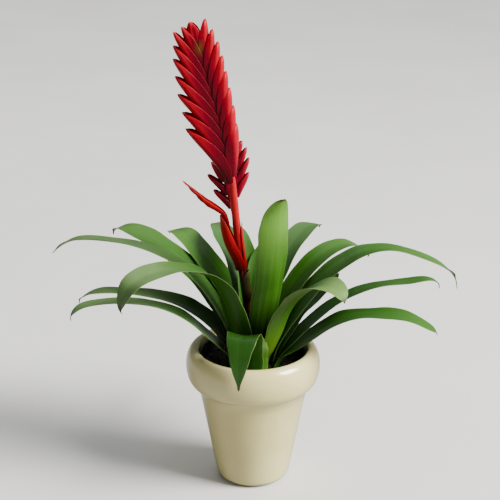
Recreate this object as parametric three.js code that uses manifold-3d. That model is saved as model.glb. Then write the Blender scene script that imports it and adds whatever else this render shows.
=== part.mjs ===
// A potted bromeliad: a glazed pot with a rolled rim, the grower's plastic pot and soil inside it, a rosette
// of arching strap leaves, and a flat flower spike of folded bracts on a leaning stem.
// Millimetres and degrees. +Z is up, -Y is the front, and the origin is the centre of the pot's flat base.
// A heading is a direction seen from above: 0 is +X, 90 is the back and -90 the front.

import * as THREE from "three";
import { mergeVertices } from "three/addons/utils/BufferGeometryUtils.js";
import Module from "manifold-3d";

const { degToRad, lerp, smoothstep } = THREE.MathUtils;

// ---------------------------------------------------------------- driving dimensions

const CLEARANCE = 0.3;

const POT = {
  height: 124,
  baseRadius: 33,
  footRound: 7,
  neckRadius: 47.2,
  neckHeight: 84.5,
  rimRadius: 49.7, // of the middle of the rolled rim
  rimBulge: 9.1, // how far the roll stands out from there
  rimBelow: 17.2, // from the roll's widest line down to its crease
  rimAbove: 15.9, // and up to the top
  rimFullness: 0.81, // under 1 is a squarer roll than an ellipse
  mouthRadius: 47.3,
  lipDrop: 3,
  floorRadius: 27,
  floorThickness: 6,
  sides: 48,
};

const LINER = { wall: 1.2, looseness: 0.6, belowRim: 5, sides: 36 };

const SOIL = { belowRim: 14, pocketDepth: 14, crown: 1.5, sides: 36 };

const LEAF = {
  thickness: 0.7,
  tipThickness: 0.35,
  innerRadius: 5.6, // of the innermost sheath
  sheathStep: 1.15, // from one sheath to the next
  sheathSpread: 2.6, // a sheath's half width is this times the root of its radius
  acrossPoints: 5,
};

const STEM = {
  footRadius: 4,
  neckRadius: 3.3, // where the spike begins
  spikeRadius: 2.2, // a little further up
  slimmingLength: 20,
  tipRadius: 1,
  sides: 12,
};

const BRACT = {
  thickness: 0.45,
  nestStep: 0.8, // how much wider a folded bract is than the next one inside it
  overlapHeight: 24, // up to which it keeps to that
  upperShare: 0.46, // of its lower rate of opening that it keeps above there
  foldRadius: 6,
  clearOfStem: 0.7,
};

// ---------------------------------------------------------------- levels worked out from them

const rimTop = POT.height;
const soilTop = rimTop - SOIL.belowRim;
const pocketFloor = soilTop - SOIL.pocketDepth;
const liner = {
  top: rimTop - LINER.belowRim,
  floor: POT.floorThickness + CLEARANCE,
};

// ---------------------------------------------------------------- solids

/** The geometry with every face pointing out of the solid. */
function facingOut(positions, triangles) {
  const a = new THREE.Vector3();
  const b = new THREE.Vector3();
  const c = new THREE.Vector3();
  let volume = 0;
  for (const [i, j, k] of triangles) {
    volume += a.copy(positions[i]).dot(b.copy(positions[j]).cross(c.copy(positions[k])));
  }
  const outward = volume > 0 ? triangles : triangles.map(([i, j, k]) => [i, k, j]);
  const geometry = new THREE.BufferGeometry();
  const coordinates = positions.flatMap((point) => point.toArray());
  geometry.setAttribute("position", new THREE.Float32BufferAttribute(coordinates, 3));
  geometry.setIndex(outward.flat());
  return geometry;
}

/**
 * The side walls of a loft: rings of equal length, the last one drawn to a point when there is an apex. Each
 * four-cornered face is split along one diagonal before the mirrored stretch of the ring, and along the other
 * in it, so that the two faces of a twisted thin sheet are split alike and keep their distance.
 */
function loftWalls(rings, apex, mirroredFrom = rings[0].length) {
  const count = rings[0].length;
  const positions = rings.flat();
  const triangles = [];
  for (let k = 0; k + 1 < rings.length; k++) {
    for (let i = 0; i < count; i++) {
      const [a, b] = [k * count + i, k * count + ((i + 1) % count)];
      if (i < mirroredFrom) {
        triangles.push([a, b, b + count], [a, b + count, a + count]);
      } else {
        triangles.push([a, b, a + count], [b, b + count, a + count]);
      }
    }
  }
  if (apex) {
    const last = (rings.length - 1) * count;
    for (let i = 0; i < count; i++) {
      triangles.push([last + i, last + ((i + 1) % count), positions.length]);
    }
    positions.push(apex);
  }
  return { positions, triangles };
}

/**
 * A thin sheet that grows from a foot to a pointed tip, sharp at both edges. Its rows are points on the
 * middle surface from one edge to the other.
 */
function taperedSheet(rows, tip, thicknessOf) {
  const last = rows[0].length - 1;
  const rowOrTip = (k) => rows[k] ?? rows[0].map(() => tip);
  const rings = rows.map((row, k) => {
    const front = [];
    const back = [];
    for (let j = 1; j < last; j++) {
      const across = new THREE.Vector3().subVectors(row[j + 1], row[j - 1]);
      const along = new THREE.Vector3().subVectors(rowOrTip(k + 1)[j], rows[Math.max(k - 1, 0)][j]);
      const half = across.cross(along).setLength(thicknessOf(k) / 2);
      front.push(row[j].clone().add(half));
      back.unshift(row[j].clone().sub(half));
    }
    return [row[0], ...front, row[last], ...back];
  });
  const { positions, triangles } = loftWalls(rings, tip, last);
  for (let j = 0; j < last; j++) {
    const [a, b, c, d] = [j, j + 1, 2 * last - j - 1, (2 * last - j) % (2 * last)];
    if (d !== a) triangles.push([b, a, d]);
    if (c !== b) triangles.push([b, d, c]);
  }
  return facingOut(positions, triangles);
}

/** A round stalk along a curve, with its radius changing along it and flat ends. */
function stalk(curve, radiusAt, steps, sides) {
  const frames = curve.computeFrenetFrames(steps, false);
  const rings = [];
  for (let k = 0; k <= steps; k++) {
    const centre = curve.getPointAt(k / steps);
    const radius = radiusAt(k / steps);
    rings.push(
      Array.from({ length: sides }, (_, i) => {
        const turn = (2 * Math.PI * i) / sides;
        return centre
          .clone()
          .addScaledVector(frames.normals[k], radius * Math.cos(turn))
          .addScaledVector(frames.binormals[k], radius * Math.sin(turn));
      }),
    );
  }
  const { positions, triangles } = loftWalls(rings, null);
  for (const [ring, point, towardsFoot] of [
    [0, curve.getPointAt(0), true],
    [steps, curve.getPointAt(1), false],
  ]) {
    const centre = positions.push(point) - 1;
    for (let i = 0; i < sides; i++) {
      const [a, b] = [ring * sides + i, ring * sides + ((i + 1) % sides)];
      triangles.push(towardsFoot ? [b, a, centre] : [a, b, centre]);
    }
  }
  return facingOut(positions, triangles);
}

/** A turned solid from [radius, height] points, from the axis at the bottom to the axis at the top. */
function turned(profile, sides) {
  const points = profile.map(([radius, height]) => new THREE.Vector2(radius, height));
  return new THREE.LatheGeometry(points, sides).rotateX(Math.PI / 2);
}

const wasm = await Module();
wasm.setup();

/** Several closed geometries joined into one. */
function joined(geometries) {
  const solids = geometries.map((geometry) => {
    const merged = mergeVertices(geometry.clone().deleteAttribute("normal").deleteAttribute("uv"), 1e-3);
    const vertProperties = new Float32Array(merged.attributes.position.array);
    const triVerts = new Uint32Array(merged.index.array);
    return new wasm.Manifold(new wasm.Mesh({ numProp: 3, vertProperties, triVerts }));
  });
  const mesh = solids.reduce((whole, solid) => whole.add(solid)).getMesh();
  const geometry = new THREE.BufferGeometry();
  geometry.setAttribute("position", new THREE.BufferAttribute(mesh.vertProperties, 3));
  return geometry.setIndex(Array.from(mesh.triVerts));
}

// ---------------------------------------------------------------- pot, liner and soil

/** The radius of the pot's straight tapered hollow at a height. */
function hollowRadius(height) {
  const share = (height - POT.floorThickness) / (rimTop - POT.lipDrop - POT.floorThickness);
  return lerp(POT.floorRadius, POT.mouthRadius, share);
}

/** Points on the quarter circle that rounds the foot, from the flat base to the wall. */
function footPoints() {
  const centre = POT.baseRadius - POT.footRound;
  return [-90, -67, -45, -22, -2].map((angle) => [
    centre + POT.footRound * Math.cos(degToRad(angle)),
    POT.footRound * (1 + Math.sin(degToRad(angle))),
  ]);
}

/** Points round the outside of the rolled rim, from its crease to the top. */
function rimPoints() {
  const widestLine = rimTop - POT.rimAbove;
  return [-90, -78, -62, -44, -24, 0, 24, 44, 62, 78, 90].map((angle) => {
    const out = Math.max(Math.cos(degToRad(angle)), 0) ** POT.rimFullness;
    const reach = angle < 0 ? POT.rimBelow : POT.rimAbove;
    return [POT.rimRadius + POT.rimBulge * out, widestLine + reach * Math.sin(degToRad(angle))];
  });
}

function potGeometry() {
  const lip = rimTop - POT.lipDrop;
  const lipRun = POT.rimRadius - POT.mouthRadius;
  const roundedLip = [30, 60].map((angle) => [
    POT.rimRadius - lipRun * Math.sin(degToRad(angle)),
    lip + POT.lipDrop * Math.cos(degToRad(angle)),
  ]);
  return turned(
    [
      [0, 0],
      ...footPoints(),
      [POT.neckRadius, POT.neckHeight],
      ...rimPoints(),
      ...roundedLip,
      [POT.mouthRadius, lip],
      [POT.floorRadius, POT.floorThickness],
      [0, POT.floorThickness],
    ],
    POT.sides,
  );
}

/** The grower's pot: a thin tapered shell that stands on the pot's floor. */
function linerGeometry() {
  const outside = (height) => hollowRadius(height) - LINER.looseness;
  return turned(
    [
      [0, liner.floor],
      [outside(liner.floor), liner.floor],
      [outside(liner.top), liner.top],
      [outside(liner.top) - LINER.wall, liner.top],
      [outside(liner.floor + LINER.wall) - LINER.wall, liner.floor + LINER.wall],
      [0, liner.floor + LINER.wall],
    ],
    LINER.sides,
  );
}

/** The soil fills the liner, with a pocket in the middle where the leaf sheaths and the stem stand. */
function soilGeometry(pocketRadius) {
  const bottom = liner.floor + LINER.wall + CLEARANCE;
  const edge = (height) => hollowRadius(height) - LINER.looseness - LINER.wall - CLEARANCE;
  return turned(
    [
      [0, bottom],
      [edge(bottom), bottom],
      [edge(soilTop - SOIL.crown), soilTop - SOIL.crown],
      [(edge(soilTop) + pocketRadius) / 2, soilTop],
      [pocketRadius, soilTop],
      [pocketRadius, pocketFloor],
      [0, pocketFloor],
    ],
    SOIL.sides,
  );
}

// ---------------------------------------------------------------- leaves

// From the innermost sheath outwards. A path is [reach, height above the rim] along the middle of the blade,
// to the tip. Roll leans the blade's face over, and low roll its lower half. A leaf with a foot heading turns
// from it to its own heading.
const LEAVES = [
  { name: "leaf_front_upright", heading: -56, halfWidth: 16, roll: 0, channel: 0.16,
    path: [[13, 5], [20, 29], [28, 56], [34, 86], [36, 112], [38, 133], [44, 148]] },
  { name: "leaf_back_young_right", heading: 70, halfWidth: 10.5, roll: 0, channel: 0.06,
    path: [[9.5, 26], [13, 46], [17, 64], [23, 78], [31, 88]] },
  { name: "leaf_back_young", heading: 108, halfWidth: 9.5, roll: 0, channel: 0.1,
    path: [[14, 34], [18, 56], [23, 73], [29, 87], [36, 100]] },
  { name: "leaf_back_torn", heading: 112, halfWidth: 12, roll: 0, channel: 0.12,
    path: [[17, 26], [22, 44], [31, 61], [44, 72], [60, 79], [80, 84], [98, 84]] },
  { name: "leaf_back_right", heading: 55, halfWidth: 11.5, roll: 0, channel: 0.12,
    path: [[19, 26], [26, 42], [38, 57], [52, 70], [68, 80], [88, 86], [112, 81]] },
  { name: "leaf_back_left", heading: 128, halfWidth: 12.5, roll: 0, channel: 0.12,
    path: [[20.6, 20], [28.6, 33.5], [42, 45], [59, 55], [78, 65], [93, 72], [107, 76], [131, 71]] },
  { name: "leaf_front_left", heading: 216, footHeading: 238, halfWidth: 15.5, roll: 0, channel: 0.14,
    path: [[18, 3], [23, 23], [29, 45], [37, 63], [50, 77], [69, 85], [88, 89], [120, 83], [133, 61]] },
  { name: "leaf_front_right", heading: -40, halfWidth: 15.5, lowRoll: 5, roll: 0, channel: 0.14,
    path: [[19.7, -1], [26.6, 14], [34, 31.5], [43, 48], [55, 62], [69, 72], [81, 75], [90, 73], [98, 64]] },
  { name: "leaf_left_longest", heading: 170, halfWidth: 12.5, roll: 11, channel: 0.16,
    path: [
      [21.6, 12], [30.8, 33], [43, 51.5], [59, 67], [78, 77], [97, 84], [120, 88], [160, 87], [180, 75],
    ] },
  { name: "leaf_left_high", heading: 146, halfWidth: 14, roll: 0, channel: 0.12,
    path: [[24, 8], [31, 23], [40, 34], [55, 48], [78, 62], [101, 73], [124, 80], [144, 82], [159, 75]] },
  { name: "leaf_right_arched", heading: 34, halfWidth: 13, roll: 0, channel: 0.12,
    path: [[24, 17], [34, 34], [49, 51], [68, 66], [86, 73], [107, 73], [132, 57]] },
  { name: "leaf_right_longest", heading: 8, halfWidth: 14, lowRoll: 8, roll: -4, channel: 0.14,
    path: [
      [26.5, 11], [36, 28], [49, 46.5], [64, 62], [80, 73], [96, 81], [119, 83], [143, 76], [174, 60],
      [185, 45],
    ] },
  { name: "leaf_left_middle", heading: 172, halfWidth: 13, lowRoll: -6, roll: 8, channel: 0.14,
    path: [[26, 6], [38, 22], [55, 33], [73, 39], [91, 42], [113, 43], [142, 41], [158, 33]] },
  { name: "leaf_right_short", heading: 28, halfWidth: 12, roll: 0, channel: 0.14,
    path: [[28, 1], [38, 11.5], [50.5, 25.5], [65, 36], [76, 44], [88, 53]] },
  { name: "leaf_right_middle", heading: -2, halfWidth: 12, lowRoll: 5, roll: -8, channel: 0.14,
    path: [[30, 0], [41, 14], [54, 27], [71, 40], [88, 50], [109, 57], [131, 60], [152, 63], [162, 58]] },
  { name: "leaf_left_low", heading: 196, halfWidth: 13, lowRoll: -6, roll: 9, channel: 0.12,
    path: [[29, 1], [42, 16], [60, 33], [82, 45], [107, 52], [134, 54], [149, 52], [160, 43]] },
  { name: "leaf_right_low", heading: -14, halfWidth: 14, lowRoll: 9, roll: -3, channel: 0.12,
    path: [[30, -3], [42, 7], [57, 19], [75, 31], [92, 37], [113, 40], [134, 39], [161, 28]] },
  { name: "leaf_back_low", heading: 86, halfWidth: 13, roll: 0, channel: 0.1,
    path: [[30, 1], [39, 17], [55, 28], [80, 31], [105, 25], [125, 13], [135, 3]] },
  { name: "leaf_back_right_low", heading: 58, halfWidth: 13, roll: 0, channel: 0.1,
    path: [[31, -2], [42, 13], [60, 23], [82, 26], [100, 21], [112, 11]] },
  { name: "leaf_front_short", heading: -82, halfWidth: 8, roll: 0, channel: 0.05,
    path: [[27.5, 0], [28.5, 11], [31, 24]] },
  { name: "leaf_front_drooping", heading: -101, halfWidth: 13.5, roll: 0, channel: 0.1,
    path: [[29.5, 2], [32, 15], [39, 26], [48, 27], [56, 19], [61, 6], [63, -14]] },
];

const leafStations = [0, 0.07, 0.15, 0.24, 0.34, 0.44, 0.54, 0.64, 0.73, 0.81, 0.88, 0.94, 0.975];

/** The radius of the sheath that a leaf grows from, by its place from the innermost. */
const sheathRadius = (order) => LEAF.innerRadius + LEAF.sheathStep * order;

/** The share of the blade's width that is left at a station: full, then rounded to a small cusp. */
function tipNarrowing(station) {
  const beyond = Math.max(station - 0.8, 0) / 0.2;
  return Math.max(Math.sqrt(1 - beyond ** 2) * lerp(1, 0.82, beyond), 0.08);
}

/**
 * One leaf. Low down its section is an arc about the plant's axis, so that sheaths nest. Further out that arc
 * flattens by itself as the reach grows, and a shallow channel takes its place.
 */
function leafGeometry(leaf, order) {
  const foot = sheathRadius(order);
  const [firstReach, firstHeight] = leaf.path[0];
  const points = [
    [foot, pocketFloor + CLEARANCE - rimTop],
    [foot, lerp(pocketFloor, soilTop, 0.6) - rimTop],
    [lerp(foot, firstReach, 0.3), lerp(soilTop - rimTop, firstHeight, 0.4)],
    ...leaf.path,
  ];
  const midrib = new THREE.CatmullRomCurve3(
    points.map(([reach, height]) => new THREE.Vector3(reach, 0, rimTop + height)),
    false,
    "centripetal",
  );
  const sheathHalfWidth = LEAF.sheathSpread * Math.sqrt(foot);
  const rows = leafStations.map((station) => {
    const centre = midrib.getPointAt(station);
    const along = midrib.getTangentAt(station);
    const upwards = new THREE.Vector3(-along.z, 0, along.x);
    const reach = centre.x;
    const widening = smoothstep(station, 0.05, 0.36);
    const halfWidth = lerp(sheathHalfWidth, leaf.halfWidth, widening) * tipNarrowing(station);
    const lift = leaf.channel * halfWidth * smoothstep(station, 0.3, 0.5);
    const lowDown = smoothstep(station, 0.08, 0.26) * (1 - smoothstep(station, 0.42, 0.66));
    const roll = degToRad(leaf.roll * smoothstep(station, 0.25, 0.7) + (leaf.lowRoll ?? 0) * lowDown);
    const turned = smoothstep(station, 0.1, 0.55);
    const heading = degToRad(lerp(leaf.footHeading ?? leaf.heading, leaf.heading, turned));
    return Array.from({ length: LEAF.acrossPoints }, (_, j) => {
      const side = lerp(-1, 1, j / (LEAF.acrossPoints - 1));
      const turn = (side * halfWidth) / reach;
      const arc = new THREE.Vector3(reach * (Math.cos(turn) - 1), reach * Math.sin(turn), 0);
      arc.addScaledVector(upwards, lift * Math.abs(side) ** 1.6).applyAxisAngle(along, roll);
      return arc.add(centre).applyAxisAngle(new THREE.Vector3(0, 0, 1), heading);
    });
  });
  const tip = midrib.getPointAt(1).applyAxisAngle(new THREE.Vector3(0, 0, 1), degToRad(leaf.heading));
  const thicknessOf = (k) => lerp(LEAF.thickness, LEAF.tipThickness, leafStations[k]);
  return taperedSheet(rows, tip, thicknessOf);
}

// ---------------------------------------------------------------- flower stem and spike

/** A stem's middle line in the upright plane at a depth, with the directions that its bracts spread in. */
class Axis {
  constructor(points, depths) {
    this.curve = new THREE.CatmullRomCurve3(
      points.map(([across, height], i) => new THREE.Vector3(across, depths[i] ?? 0, rimTop + height)),
      false,
      "centripetal",
    );
    this.length = this.curve.getLength();
  }

  /** The point at a distance along the axis, moved sideways and forwards from it. */
  place(sideways, distance, forwards) {
    const share = distance / this.length;
    const inside = Math.min(Math.max(share, 0), 1);
    const tangent = this.curve.getTangentAt(inside);
    const point = this.curve.getPointAt(inside).addScaledVector(tangent, distance - inside * this.length);
    const across = new THREE.Vector3(tangent.z, 0, -tangent.x).normalize();
    return point.addScaledVector(across, sideways).add(new THREE.Vector3(0, -forwards, 0));
  }
}

// [across, height above the rim] of the stem, from its foot in the soil to the tip of the spike.
const stemPoints = [
  [0, pocketFloor + CLEARANCE - rimTop], [-2, 14], [-5.8, 46], [-9.8, 76], [-13.8, 110], [-16.2, 135],
  [-20, 167], [-28, 204], [-37, 235], [-44, 262],
];
const mainStem = new Axis(stemPoints, []);

const SPIKE = {
  start: 176, // distance along the stem to the lowest bract
  pitch: 6.1,
  bracts: 17,
  leftSpread: [29, 27, 22.5, 16.5, 2],
  rightSpread: [12, 14.5, 17, 16, 9.5],
  leftRise: [54, 60, 63, 59, 39],
  rightRise: [41, 46, 50, 49, 43],
  leftBelly: [6, 5, 4, 3, 2.7], // how far a keel swells out low down
  rightBelly: [3.6, 4],
  leftCurl: [-1.2, -0.8, 0.8, 2, 2], // how far a keel passes outside its tip before it turns in to it
  rightCurl: [1.6, 1.6],
  leftBreadth: [19, 16.5, 13, 10, 10], // of a bract near its tip
  rightBreadth: [15, 12, 10, 9, 9],
  leastSwing: 10, // how far the keel of even the most upright bract swings out
  lap: 4, // how far a bract's margin passes the stem's middle line
};

const BRANCHES = [
  { name: "right_branch", bracts: 7, side: 1, start: 28, pitch: 5.4,
    rise: [21, 22, 15], spread: [10.5, 12, 7],
    points: [[-13.5, 106], [-14.5, 132], [-14, 154], [-16, 176]], depths: [0, 11, 16, 17] },
  { name: "left_branch", bracts: 5, side: -1, start: 23, pitch: 5.8,
    rise: [19, 21, 19], spread: [11, 12.5, 7],
    points: [[-13, 102], [-18, 124], [-23, 142], [-27, 158]], depths: [0, 8, 11, 12] },
];
const BRANCH_STEM = { footRadius: 1.8, tipRadius: 0.9, hiddenSpread: 4.5, sides: 8 };
const BRANCH_BRACT = { breadth: 6, leastSwing: 0, lap: 0.7 };
const BRANCH_FULLNESS = { outer: { belly: 3, curl: 0.8 }, hidden: { belly: 0.6, curl: 0 } };

/** A value that runs smoothly through a few given ones, from the start of a spike (0) to its end (1). */
function runThrough(values, share) {
  const position = share * (values.length - 1);
  const index = Math.min(Math.floor(position), values.length - 2);
  return lerp(values[index], values[index + 1], position - index);
}

const bractStations = [0, 0.16, 0.33, 0.5, 0.67, 0.82, 0.93];
const bractAcross = [0, 0.5, 0.85, 1]; // shares of the way from the open margin to the keel

/** How far a bract has opened at a height above its foot, when the next one starts a pitch higher. */
function opening(height, pitch) {
  const lower = Math.min(Math.max(height, 0), BRACT.overlapHeight);
  const upper = Math.max(height - BRACT.overlapHeight, 0);
  return (BRACT.nestStep / pitch) * (lower + BRACT.upperShare * upper);
}

/**
 * One folded bract: a keel on the outer side and two halves that close over the stem in front and behind.
 * Bracts higher up the spike lie inside the lower ones, because every bract opens at the same rate from its
 * own foot.
 */
function bractGeometry(axis, shape) {
  const { side, foot, pitch, spread, rise, belly, curl, leastSwing, breadth, lap, stemRadius } = shape;
  const nearest = stemRadius + BRACT.clearOfStem + BRACT.thickness / 2;
  const tip = new THREE.Vector2(side * spread, foot + rise);
  const keel = new THREE.CubicBezierCurve(
    new THREE.Vector2(side * nearest, foot),
    new THREE.Vector2(side * (nearest + belly), foot + rise * 0.36),
    new THREE.Vector2(side * Math.max(spread + curl, leastSwing), foot + rise * 0.85),
    tip,
  );
  const margin = new THREE.CubicBezierCurve(
    new THREE.Vector2(-side * nearest * 0.25, foot + 1),
    new THREE.Vector2(-side * lap, foot + rise * 0.42),
    new THREE.Vector2(side * (spread - breadth), foot + rise * 0.8),
    tip,
  );
  const rows = bractStations.map((station) => {
    const outer = keel.getPoint(station);
    const inner = margin.getPoint(station);
    const width = outer.distanceTo(inner);
    const closing = Math.sqrt(1 - station ** 6);
    const half = bractAcross.map((share) => {
      const point = inner.clone().lerp(outer, share);
      const fold = Math.min(((1 - share) * width) / Math.min(BRACT.foldRadius, width * 0.5), 1);
      const open = nearest + opening(point.y - foot, pitch);
      return [point.x, point.y, open * closing * Math.sqrt(1 - (1 - fold) ** 2)];
    });
    const front = half.map(([across, distance, depth]) => axis.place(across, distance, depth));
    const back = half.slice(0, -1).map(([across, distance, depth]) => axis.place(across, distance, -depth));
    return [...front, ...back.reverse()];
  });
  return taperedSheet(rows, axis.place(tip.x, tip.y, 0), () => BRACT.thickness);
}

/** The radius of the main stem at a distance along it. */
function stemRadiusAt(distance) {
  const { footRadius, neckRadius, spikeRadius, tipRadius, slimmingLength } = STEM;
  const beyond = distance - SPIKE.start;
  if (beyond < 0) return lerp(footRadius, neckRadius, distance / SPIKE.start);
  if (beyond < slimmingLength) return lerp(neckRadius, spikeRadius, beyond / slimmingLength);
  const share = (beyond - slimmingLength) / (mainStem.length - SPIKE.start - slimmingLength);
  return lerp(spikeRadius, tipRadius, Math.min(share, 1));
}

function stemGeometry() {
  const main = stalk(mainStem.curve, (share) => stemRadiusAt(share * mainStem.length), 32, STEM.sides);
  const branches = BRANCHES.map((branch) => {
    const axis = new Axis(branch.points, branch.depths);
    const radiusAt = (share) => lerp(BRANCH_STEM.footRadius, BRANCH_STEM.tipRadius, share);
    return stalk(axis.curve, radiusAt, 8, BRANCH_STEM.sides);
  });
  return joined([main, ...branches]);
}

/** The bracts of the main spike, from the lowest to the tip, on the left and right by turns. */
function spikeBracts() {
  return Array.from({ length: SPIKE.bracts }, (_, i) => {
    const share = i / (SPIKE.bracts - 1);
    const left = i % 2 === 0;
    const foot = SPIKE.start + SPIKE.pitch * i;
    const shape = {
      side: left ? -1 : 1,
      foot,
      pitch: SPIKE.pitch,
      spread: runThrough(left ? SPIKE.leftSpread : SPIKE.rightSpread, share),
      rise: runThrough(left ? SPIKE.leftRise : SPIKE.rightRise, share),
      belly: runThrough(left ? SPIKE.leftBelly : SPIKE.rightBelly, share),
      curl: runThrough(left ? SPIKE.leftCurl : SPIKE.rightCurl, share),
      breadth: runThrough(left ? SPIKE.leftBreadth : SPIKE.rightBreadth, share),
      leastSwing: SPIKE.leastSwing,
      lap: SPIKE.lap,
      stemRadius: stemRadiusAt(foot),
    };
    return [`spike_bract_${String(i + 1).padStart(2, "0")}`, bractGeometry(mainStem, shape)];
  });
}

/** The bracts of one side branch. */
function branchBracts(branch) {
  const axis = new Axis(branch.points, branch.depths);
  return Array.from({ length: branch.bracts }, (_, i) => {
    const share = i / (branch.bracts - 1);
    const outer = i % 2 === 0;
    const shape = {
      side: outer ? branch.side : -branch.side,
      foot: branch.start + branch.pitch * i,
      pitch: branch.pitch,
      spread: outer ? runThrough(branch.spread, share) : BRANCH_STEM.hiddenSpread,
      rise: runThrough(branch.rise, share),
      ...(outer ? BRANCH_FULLNESS.outer : BRANCH_FULLNESS.hidden),
      ...BRANCH_BRACT,
      stemRadius: BRANCH_STEM.footRadius,
    };
    return [`${branch.name}_bract_${i + 1}`, bractGeometry(axis, shape)];
  });
}

// ---------------------------------------------------------------- bracts on the bare stem

// Troughs that clasp the stem and then part from it, each ending in a tongue on its outer side. A path is
// [distance along the stem, lean away from it]. The radii run from the foot to the tip.
const STEM_BRACTS = [
  { name: "stem_bract_base", side: 1, radii: [4.9, 4.8], halfAngle: 125,
    path: [[70, 0], [82, 0], [92, 0.3], [98.5, 1]] },
  { name: "stem_bract_hooded", side: -1, radii: [5.4, 5.2, 4.2], halfAngle: 126,
    path: [[100, 0], [106, 0.6], [113, 2.6], [125, 6.2], [137, 8], [149.5, 8]] },
  { name: "stem_bract_long", side: -1, radii: [1.6, 2, 3.5, 2, 0.8], halfAngle: 112,
    path: [[136, 6.2], [144, 7], [150, 8.8], [156, 14.5], [163, 22.5], [172, 30.5], [184, 39.3]] },
  { name: "stem_bract_right", side: 1, radii: [4.3, 4.3], halfAngle: 50,
    path: [[101, 0], [116, 0], [132, 0], [142, 0.3]] },
];

const stemBractStations = [0, 0.14, 0.3, 0.46, 0.62, 0.77, 0.9];

/** Part of a tube round a path, open towards the stem, that narrows to a tongue. */
function stemBractGeometry({ side, radii, halfAngle, path }) {
  const points = path.map(([distance, lean]) => mainStem.place(side * lean, distance, 0));
  const axis = new Axis(points.map((point) => [point.x, point.z - rimTop]), []);
  const acrossPoints = 7;
  const rows = stemBractStations.map((station) => {
    const radius = runThrough(radii, station);
    const around = halfAngle * Math.sqrt(1 - station ** 4);
    return Array.from({ length: acrossPoints }, (_, j) => {
      const turn = degToRad(lerp(-around, around, j / (acrossPoints - 1)));
      return axis.place(side * radius * Math.cos(turn), station * axis.length, radius * Math.sin(turn));
    });
  });
  return taperedSheet(rows, axis.place(side * radii.at(-1), axis.length, 0), () => BRACT.thickness);
}

// ---------------------------------------------------------------- assembly

const finish = (color, roughness) => ({ color, roughness, metalness: 0 });
const FINISHES = {
  glaze: finish("#ece2bc", 0.12),
  plastic: finish("#141414", 0.5),
  soil: finish("#241a12", 0.95),
  leaf: finish("#3f7a26", 0.4),
  stem: finish("#b4242b", 0.35),
  bract: finish("#b3121f", 0.35),
};

const plant = new THREE.Group();

function add(name, geometry, finishName) {
  const mesh = new THREE.Mesh(geometry, new THREE.MeshStandardMaterial(FINISHES[finishName]));
  mesh.name = name;
  plant.add(mesh);
}

const pocketRadius = sheathRadius(LEAVES.length - 1) + LEAF.thickness / 2 + CLEARANCE;

add("pot", potGeometry(), "glaze");
add("nursery_pot", linerGeometry(), "plastic");
add("potting_soil", soilGeometry(pocketRadius), "soil");
add("flower_stem", stemGeometry(), "stem");
for (const [name, geometry] of spikeBracts()) add(name, geometry, "bract");
for (const branch of BRANCHES) {
  for (const [name, geometry] of branchBracts(branch)) add(name, geometry, "bract");
}
for (const bract of STEM_BRACTS) add(bract.name, stemBractGeometry(bract), "bract");
LEAVES.forEach((leaf, order) => add(leaf.name, leafGeometry(leaf, order), "leaf"));

export default plant;
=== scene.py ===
"""A potted bromeliad: a cream glazed pot, the grower's pot, the soil, the leaves and a red flower spike."""

from __future__ import annotations

import logging
import math
from dataclasses import dataclass
from enum import Enum

import bmesh
import bpy
import numpy as np
from mathutils import Matrix, Vector, noise

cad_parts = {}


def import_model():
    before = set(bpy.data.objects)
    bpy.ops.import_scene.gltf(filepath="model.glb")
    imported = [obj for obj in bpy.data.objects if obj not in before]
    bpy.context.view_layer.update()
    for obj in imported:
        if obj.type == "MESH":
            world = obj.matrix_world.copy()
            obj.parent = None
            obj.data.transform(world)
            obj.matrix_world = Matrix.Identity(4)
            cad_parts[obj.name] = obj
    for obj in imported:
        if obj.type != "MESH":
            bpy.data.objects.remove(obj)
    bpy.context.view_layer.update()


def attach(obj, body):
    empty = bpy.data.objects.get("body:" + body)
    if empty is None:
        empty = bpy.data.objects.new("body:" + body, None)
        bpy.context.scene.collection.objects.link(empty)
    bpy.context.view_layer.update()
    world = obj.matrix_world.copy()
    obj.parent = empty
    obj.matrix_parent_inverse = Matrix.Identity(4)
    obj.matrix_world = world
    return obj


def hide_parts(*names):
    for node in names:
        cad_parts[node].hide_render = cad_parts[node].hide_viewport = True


log = logging.getLogger("bromeliad")

MM = 0.001
EDGE_SHARE = 0.25  # of a sheet's thickness that is left where its fullness is nil
ROOT = "root"

Row = tuple[float, float]
Colour = tuple[float, float, float]

# ---------------------------------------------------------------- levels of the pot and soil, in millimetres

RIM_TOP = 124.0
SOIL_TOP = 110.0
POCKET_FLOOR = 96.3
FLOOR_THICKNESS = 6.0
MOUTH_RADIUS = 47.3
HOLLOW_FOOT_RADIUS = 27.0
LIP_DROP = 3.0


def hollow_radius(height: float) -> float:
    """The radius of the pot's tapered hollow at a height, in millimetres."""
    share = (height - FLOOR_THICKNESS) / (RIM_TOP - LIP_DROP - FLOOR_THICKNESS)
    return HOLLOW_FOOT_RADIUS + (MOUTH_RADIUS - HOLLOW_FOOT_RADIUS) * share


def smoothstep(value: np.ndarray | float, low: float, high: float) -> np.ndarray | float:
    """A smooth rise from 0 at low to 1 at high."""
    share = np.clip((np.asarray(value, float) - low) / (high - low), 0.0, 1.0)
    return share * share * (3.0 - 2.0 * share)


# ---------------------------------------------------------------- smooth lines


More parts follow.
